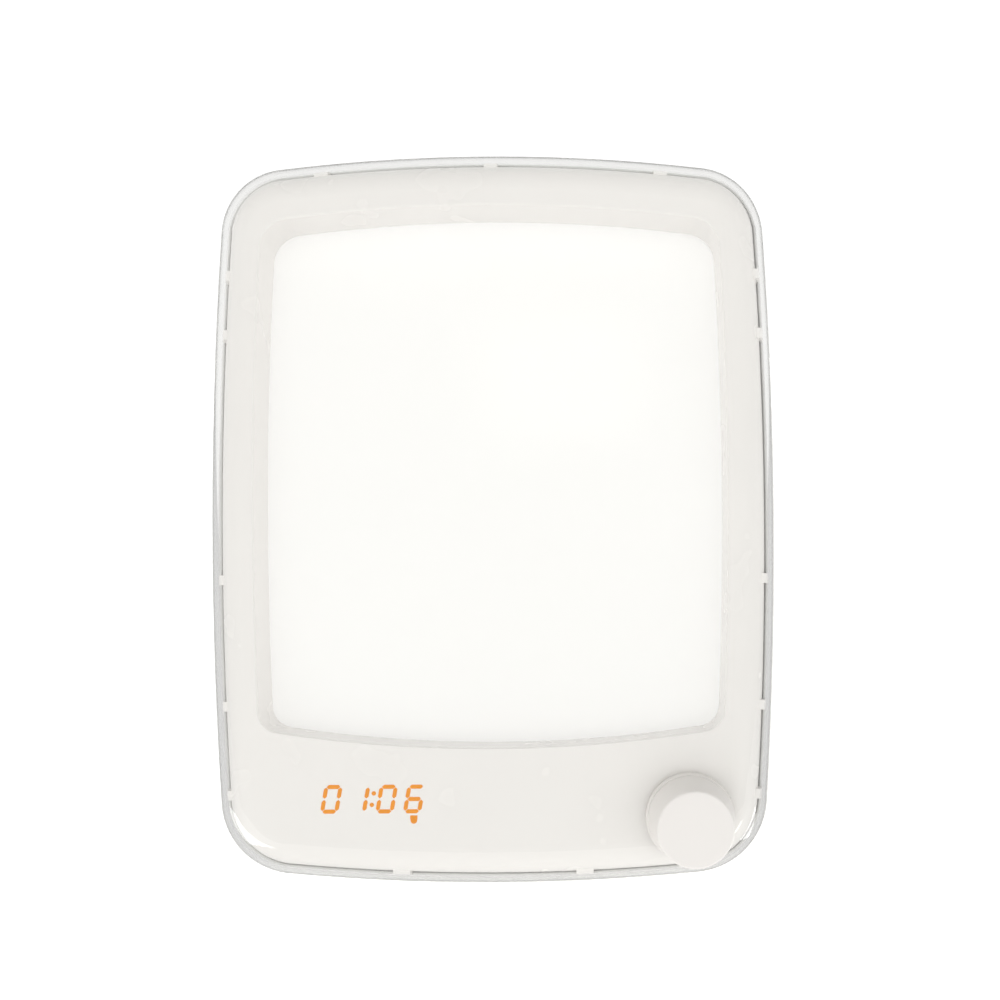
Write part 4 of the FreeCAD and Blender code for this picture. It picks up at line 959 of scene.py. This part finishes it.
def threaded_screw(long, head, depth):
    """Pan-head screw with a cut thread and a hexagon socket, from the length under its head,
    the head's radius and the thread's depth. Its seat is at z = 0, its head towards +Z."""
    shank, thick, socket = head * SHANK_SHARE, head * HEAD_SHARE, head * SOCKET_SHARE
    turns = int(long / (shank * 0.40))
    tip = shank * 1.4  # length over which the shank narrows
    point = 0.45  # share of its radius that is left at its end
    stem = started("stem", bpy.ops.mesh.primitive_cylinder_add, vertices=20, radius=shank,
                   depth=long, end_fill_type="NOTHING", location=(0, 0, -long / 2))
    settled(stem)
    edit(stem)
    bpy.ops.mesh.bisect(plane_co=(0, 0, -long * 0.5), plane_no=(0, 0, 1))
    mesh = bmesh.from_edit_mesh(stem.data)
    upright = [e for e in mesh.edges if abs((e.verts[0].co - e.verts[1].co).z) > long * 0.1]
    bmesh.ops.subdivide_edges(mesh, edges=upright, cuts=turns * 2, use_grid_fill=True)
    for vertex in mesh.verts:
        across = Vector((vertex.co.x, vertex.co.y))
        turn = across.angle_signed(Vector((1.0, 0.0))) / (2 * pi)
        phase = (vertex.co.z * turns / long + turn) % 1.0
        taper = min(1.0, (long + vertex.co.z) / tip)
        radius = (shank - depth * abs(2 * phase - 1.0)) * (point + (1.0 - point) * taper)
        flat = across.normalized() * radius
        vertex.co = Vector((flat.x, flat.y, vertex.co.z))
    bmesh.update_edit_mesh(stem.data)
    choose_rim(stem, lambda middle: middle.z < -long / 2)
    bpy.ops.mesh.edge_face_add()
    done()
    cap = started("cap", bpy.ops.mesh.primitive_cylinder_add, vertices=48, radius=head,
                  depth=thick, location=(0, 0, thick / 2))
    settled(cap)
    edit(cap)
    choose_faces(cap, lambda centre, normal: normal.z > 0.9)
    bpy.ops.mesh.bevel(offset=thick * 0.42, segments=5)
    choose_faces(cap, lambda centre, normal: normal.z > 0.99)
    bpy.ops.mesh.delete(type="FACE")
    done()
    top = max(vertex.co.z for vertex in cap.data.vertices)
    brink = top - MERGE / 10
    rim = [v.index for v in cap.data.vertices if v.co.z > brink]
    hexagon = started("hexagon", bpy.ops.mesh.primitive_circle_add, vertices=6, radius=socket,
                      location=(0, 0, top), fill_type="NOTHING")
    settled(hexagon)
    edit(hexagon)
    bpy.ops.mesh.subdivide(number_cuts=len(rim) // 6 - 1)
    bpy.ops.mesh.extrude_edges_move(TRANSFORM_OT_translate={"value": (0, 0, -thick * 0.55)})
    bpy.ops.mesh.edge_face_add()
    done()
    crown = joined("crown", [cap, hexagon])
    edit(crown)
    choose_rim(crown, lambda middle: middle.z > brink)
    bpy.ops.mesh.bridge_edge_loops()
    done(outward=True)
    screw = joined("screw", [crown, stem])
    edit(screw)
    done(outward=True)
    smooth(screw, radians(40.0))
    return screw


class LAMP_OT_screws(Operator):
    """Threaded screws with hexagon sockets, in place of the plain ones"""
    bl_idname = "lamp.screws"
    bl_label = "Screws"

    def execute(self, context):
        thread = context.scene.lamp.details.thread_depth
        for node in ("housing_screws", "tray_screws", "board_screws"):
            boxes = lamp_solids(node)
            size = boxes[0][1] - boxes[0][0]
            head = size.x / 2
            thick = head * HEAD_SHARE
            master = threaded_screw(size.y - thick, head, thread * head / THREAD_HEAD)
            copies = []
            for box_low, box_high in boxes:
                seat = Vector(((box_low.x + box_high.x) / 2, box_high.y - thick,
                               (box_low.z + box_high.z) / 2))
                place = LAMP @ Matrix.Translation(seat) @ OUT_OF_BACK
                copies.append(copied(master, "screw", place))
            discard(master)
            dress(joined(node + "_cut", copies), "screw_zinc", "lamp", node)
        return {"FINISHED"}


# ---- electrical details -------------------------------------------------------------------


class LAMP_OT_winding(Operator):
    """Copper winding on the driver coil"""
    bl_idname = "lamp.winding"
    bl_label = "Coil winding"

    def execute(self, context):
        details = context.scene.lamp.details
        low, high = lamp_box("driver_coil")
        flange = 1.2 * MM
        inner = (high.x - low.x) / 2 - flange
        wire = details.wire / 2
        nest = wire * 1.75  # rise from one layer to the next
        rows = int((high.y - low.y - 2 * flange) / details.wire)
        copies = []
        for layer in range(details.wire_layers):
            ring = started("ring", bpy.ops.mesh.primitive_torus_add,
                           major_radius=inner + wire + layer * nest, minor_radius=wire,
                           major_segments=48, minor_segments=8)
            for row in range(rows - layer):
                depth = low.y + flange + details.wire * (row + 0.55 + layer / 2)
                centre = Vector(((low.x + high.x) / 2, depth, (low.z + high.z) / 2))
                place = LAMP @ Matrix.Translation(centre) @ OUT_OF_BACK
                copies.append(copied(ring, "turn", place))
            discard(ring)
        winding = joined("coil_winding", copies)
        smooth(winding, radians(60.0))
        dress(winding, "copper_wire", "lamp")
        return {"FINISHED"}


class LAMP_OT_chip_lenses(Operator):
    """Phosphor windows of the LED chips"""
    bl_idname = "lamp.chip_lenses"
    bl_label = "LED windows"

    def execute(self, context):
        boxes = lamp_solids("led_chips")
        size = boxes[0][1] - boxes[0][0]
        window = plate("window", size.z * 0.8, size.y * 0.66)
        bpy.ops.mesh.bevel(offset=size.y * 0.14, segments=3, affect="VERTICES")
        bpy.ops.mesh.extrude_region_move(TRANSFORM_OT_translate={"value": (0, 0, 0.05 * MM)})
        bpy.ops.mesh.inset(thickness=size.y * 0.06, depth=0.03 * MM)
        done(outward=True)
        copies = []
        for box_low, box_high in boxes:
            centre = (box_low + box_high) / 2
            side = 1.0 if centre.x > 0 else -1.0
            inner = Vector((centre.x - side * size.x / 2, centre.y, centre.z))
            facing = Matrix(((0, 0, -side, 0), (0, side, 0, 0), (1, 0, 0, 0), (0, 0, 0, 1)))
            copies.append(copied(window, "window", LAMP @ Matrix.Translation(inner) @ facing))
        discard(window)
        dress(joined("led_windows", copies), "led_lit", "lamp")
        return {"FINISHED"}


class LAMP_OT_jack_spring(Operator):
    """Sprung contact inside the power inlet"""
    bl_idname = "lamp.jack_spring"
    bl_label = "Inlet contact"

    def execute(self, context):
        low, high = lamp_box("dc_jack_pin")
        long, arch, sheet = 5.0 * MM, 0.55 * MM, 0.18 * MM
        leaf = plate("jack_contact", 1.3 * MM, long)
        bpy.ops.mesh.subdivide(number_cuts=6)
        mesh = bmesh.from_edit_mesh(leaf.data)
        for vertex in mesh.verts:
            vertex.co.z = arch * cos(vertex.co.y / long * pi) ** 2
        bmesh.update_edit_mesh(leaf.data)
        done()
        applied(leaf, "SOLIDIFY", thickness=sheet)
        smooth(leaf)
        seat = (low + high) / 2 + Vector((0.0, 0.5 * MM, -2.62 * MM))
        leaf.data.transform(LAMP @ Matrix.Translation(seat))
        dress(leaf, "bright_metal", "lamp")
        return {"FINISHED"}


# ---- finishes ---------------------------------------------------------------------------


class LAMP_OT_finishes(Operator):
    """Shared effects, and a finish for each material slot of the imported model"""
    bl_idname = "lamp.finishes"
    bl_label = "Finishes"

    def execute(self, context):
        for make_group in (make_grain_group, make_tone_group, make_wear_group,
                           make_brush_group):
            make_group()
        hues = context.scene.lamp.colours
        glow = context.scene.lamp.glow
        pale = (0.30, 0.30, 0.29)
        finishes = {
            "clear_plastic": (clear, hues.cover),
            "bezel_white": (moulded, hues.bezel, 0.24, 2600.0, 0.004, 0.008),
            # grey of painted shade for the gap between cover and bezel
            "seal_grey": (moulded, hues.seal, 0.7, 1600.0, 0.02, 0.05),
            "opal_lit": (opal_screen, glow),
            "film_white": (moulded, (0.88, 0.88, 0.87), 0.6, 3000.0, 0.004),
            "guide_clear": (dotted_guide,),
            "tray_metal": (metal, (0.60, 0.61, 0.62), 0.34),
            "strip_white": (moulded, (0.80, 0.81, 0.80), 0.35, 1200.0, 0.01),
            "led_lit": (lit, (0.80, 0.68, 0.22), (1.0, 0.94, 0.72), glow.chips),
            "board_green": (traced_board, hues.board),
            "part_black": (moulded, hues.black, 0.42, 1800.0, 0.015, 0.1, pale),
            "segment_amber": (lit, (0.10, 0.035, 0.0), hues.digits, glow.digits),
            "coil_grey": (moulded, (0.045, 0.045, 0.05), 0.55, 1400.0, 0.03, 0.15, pale),
            "can_metal": (metal, (0.62, 0.63, 0.65), 0.22, 1400.0),
            "plug_white": (moulded, hues.nylon, 0.45, 1500.0, 0.01),
            "lead_white": (moulded, (0.78, 0.78, 0.76), 0.4, 1200.0, 0.01),
            "lead_red": (moulded, (0.36, 0.016, 0.012), 0.4, 1200.0, 0.01),
            "bright_metal": (metal, (0.72, 0.71, 0.68), 0.16, 1500.0),
            "shaft_metal": (metal, hues.steel, 0.26, 1500.0, (0.8, 0.8, 0.8)),
            "knob_white": (moulded, hues.knob, 0.38, 2400.0, 0.006, 0.008),
            "housing_white": (moulded, hues.housing, 0.48, 1500.0, 0.03, 0.012),
            "screw_zinc": (metal, hues.steel, 0.3, 1300.0, (0.78, 0.78, 0.77)),
            "pad_grey": (moulded, hues.rubber, 0.66, 1300.0, 0.05, 0.08, pale),
            "copper_wire": (wound_wire, hues.copper),
        }
        for slot, (make, *looks) in finishes.items():
            make(slot, *looks)
        for node in frame["nodes"].values():
            slot = node.material_slots[0].material.name.split(".")[0]
            node.material_slots[0].material = bpy.data.materials[finish_name(slot)]
        return {"FINISHED"}


# ---- stage ------------------------------------------------------------------------------


def either(tree, mask, here, otherwise):
    """One value where a mask is 1 and the other where it is 0."""
    return maths(tree, "ADD", maths(tree, "MULTIPLY", here, mask),
                 maths(tree, "MULTIPLY", otherwise, maths(tree, "SUBTRACT", 1.0, mask)))


def studio_world(stage):
    """Soft light, brighter from the camera's side and dimmer overhead. Reflections see a
    darker studio on the camera's side, and the camera itself sees plain white."""
    world = bpy.data.worlds.new("Studio")
    bpy.context.scene.world = world
    world.use_nodes = True
    tree = world.node_tree
    tree.nodes.clear()
    way = put(tree, "ShaderNodeSeparateXYZ", {
        0: put(tree, "ShaderNodeTexCoord").outputs["Generated"]}).outputs
    path = put(tree, "ShaderNodeLightPath").outputs
    overhead = remapped(tree, way["Z"], 0.0, 1.0, 1.0, stage.zenith)
    lit_side = remapped(tree, way["Y"], -0.6, 0.3, stage.front, stage.behind)
    mirrored_side = remapped(tree, way["Y"], -0.75, -0.35, stage.mirrored_front, stage.behind)
    ahead = either(tree, path["Is Glossy Ray"], mirrored_side, lit_side)
    studio = either(tree, path["Is Transmission Ray"], stage.studio_through,
                    maths(tree, "MULTIPLY", ahead, overhead))
    light = put(tree, "ShaderNodeBackground", {"Color": (1.0, 0.995, 0.985, 1.0),
                                               "Strength": studio})
    backdrop = put(tree, "ShaderNodeBackground", {"Color": (1, 1, 1, 1),
                                                  "Strength": stage.backdrop})
    shader = put(tree, "ShaderNodeMixShader", {0: path["Is Camera Ray"], 1: light.outputs[0],
                                               2: backdrop.outputs[0]})
    put(tree, "ShaderNodeOutputWorld", {"Surface": shader.outputs[0]})


def area_light(name, size, radiance):
    """Rectangular area light of a size and a radiance."""
    light = bpy.data.lights.new(name, "AREA")
    light.shape = "RECTANGLE"
    light.size, light.size_y = size
    light.energy = radiance * pi * size[0] * size[1]
    lamp = bpy.data.objects.new(name, light)
    bpy.context.scene.collection.objects.link(lamp)
    return lamp


def softbox(name, place, size, radiance):
    """Area light at a place in the lamp's frame, aimed at the lamp's middle. Its cloth is
    brightest in the middle and fades out towards the frame."""
    box = area_light(name, size, radiance)
    box.data.use_nodes = True
    tree = box.data.node_tree
    tree.nodes.clear()
    across = put(tree, "ShaderNodeSeparateXYZ", {
        0: put(tree, "ShaderNodeNewGeometry").outputs["Parametric"]}).outputs
    fall = 1.0
    for side in ("X", "Y"):
        from_middle = maths(tree, "ABSOLUTE", maths(tree, "SUBTRACT", across[side], 0.5))
        fade = put(tree, "ShaderNodeMapRange", {"Value": from_middle, "From Min": 0.12,
                                                "From Max": 0.5, "To Min": 1.0, "To Max": 0.0},
                   interpolation_type="SMOOTHSTEP").outputs["Result"]
        fall = maths(tree, "MULTIPLY", fade, fall)
    cloth = put(tree, "ShaderNodeEmission", {"Strength": fall})
    put(tree, "ShaderNodeOutputLight", {"Surface": cloth.outputs[0]})
    spot = LAMP @ Vector(place)
    box.location = spot
    box.rotation_euler = (LAMP.translation - spot).to_track_quat("-Z", "Y").to_euler()


# bright cards on the floor: name, middle, size, turn in degrees, radiance
CARDS = (("left_card", (-0.205, -0.087), (0.16, 0.085), 0.0, 5.0),
         ("right_card", (0.175, -0.136), (0.10, 0.014), -46.0, 6.0),
         ("right_strip", (0.190, -0.046), (0.14, 0.020), -14.0, 6.0))
CARD_LIFT = 0.4 * MM
FLOOR_DROP = 0.1 * MM


def bright_card(name, place, size, turn, radiance):
    """Bright card that lies on the floor and is seen only in reflections."""
    card = area_light(name, size, radiance)
    card.location = (*place, CARD_LIFT)
    card.rotation_euler = (pi, 0.0, radians(turn))
    card.visible_camera = False
    card.visible_diffuse = False
    card.visible_transmission = False


class LAMP_OT_stage(Operator):
    """Pale floor, soft studio light and the camera"""
    bl_idname = "lamp.stage"
    bl_label = "Stage"

    def execute(self, context):
        stage = context.scene.lamp.stage
        self.add_floor(stage)
        studio_world(stage)
        softbox("front_softbox", place=(-0.008, -1.0, 0.317), size=(0.40, 0.30), radiance=0.35)
        for card in CARDS:
            bright_card(*card)
        self.add_camera(context, stage)
        context.scene.view_settings.view_transform = "Standard"
        return {"FINISHED"}

    def add_floor(self, stage):
        floor = started("floor", bpy.ops.mesh.primitive_plane_add, size=14.0,
                        location=(0.0, 0.0, -FLOOR_DROP))
        tree = blank_material("floor_white")
        path = put(tree, "ShaderNodeLightPath").outputs
        force = remapped(tree, path["Is Camera Ray"], 0.0, 1.0, stage.floor_glow,
                         stage.floor_glow_seen)
        less = maths(tree, "MULTIPLY", path["Is Transmission Ray"],
                     stage.floor_glow - stage.floor_through)
        principled(tree, {
            "Base Color": toned(tree, (0.80, 0.80, 0.80), 0.01, 2.0), "Roughness": 0.9,
            "Emission Color": (1, 1, 1, 1),
            "Emission Strength": maths(tree, "SUBTRACT", force, less)})
        floor.data.materials.append(bpy.data.materials[finish_name("floor_white")])

    def add_camera(self, context, stage):
        data = bpy.data.cameras.new("camera")
        data.lens = stage.lens
        data.shift_x = stage.shift_x
        data.shift_y = stage.shift_y
        camera = bpy.data.objects.new("camera", data)
        context.scene.collection.objects.link(camera)
        widest_y = 15.0 * MM
        spot = Vector((stage.camera_x, widest_y - stage.distance, -stage.camera_drop))
        turned = Matrix.Rotation(stage.roll, 4, "Z")
        camera.matrix_world = LAMP @ Matrix.Translation(spot) @ OUT_OF_FRONT @ turned
        context.scene.camera = camera


# ---- panel and registration -----------------------------------------------------------------

STEPS = (LAMP_OT_finishes, LAMP_OT_cover, LAMP_OT_seal, LAMP_OT_enamel, LAMP_OT_clock,
         LAMP_OT_screws, LAMP_OT_winding, LAMP_OT_chip_lenses, LAMP_OT_jack_spring,
         LAMP_OT_stage)


class LAMP_PT_panel(Panel):
    """Sizes, colours and steps of the lamp"""
    bl_idname = "LAMP_PT_panel"
    bl_label = "Light Therapy Lamp"
    bl_space_type = "VIEW_3D"
    bl_region_type = "UI"
    bl_category = "Lamp"

    def draw(self, context):
        settings = context.scene.lamp
        for group in (settings.colours, settings.glow, settings.shells, settings.details,
                      settings.stage):
            box = self.layout.box()
            for key in group.__annotations__:
                box.prop(group, key)
        for step in STEPS:
            self.layout.operator(step.bl_idname)


CLASSES = (LampColours, LampGlow, LampShells, LampDetails, LampStage, LampSettings, *STEPS,
           LAMP_PT_panel)


def register():
    for entry in CLASSES:
        bpy.utils.register_class(entry)
    bpy.types.Scene.lamp = PointerProperty(type=LampSettings)


def unregister():
    del bpy.types.Scene.lamp
    for entry in reversed(CLASSES):
        bpy.utils.unregister_class(entry)


def main():
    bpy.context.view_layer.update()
    register()
    bpy.ops.lamp.finishes()
    bpy.ops.lamp.cover()
    bpy.ops.lamp.seal()
    bpy.ops.lamp.enamel()
    bpy.ops.lamp.clock()
    bpy.ops.lamp.screws()
    bpy.ops.lamp.winding()
    bpy.ops.lamp.chip_lenses()
    bpy.ops.lamp.jack_spring()
    bpy.ops.lamp.stage()


if __name__ == "__main__":
    main()
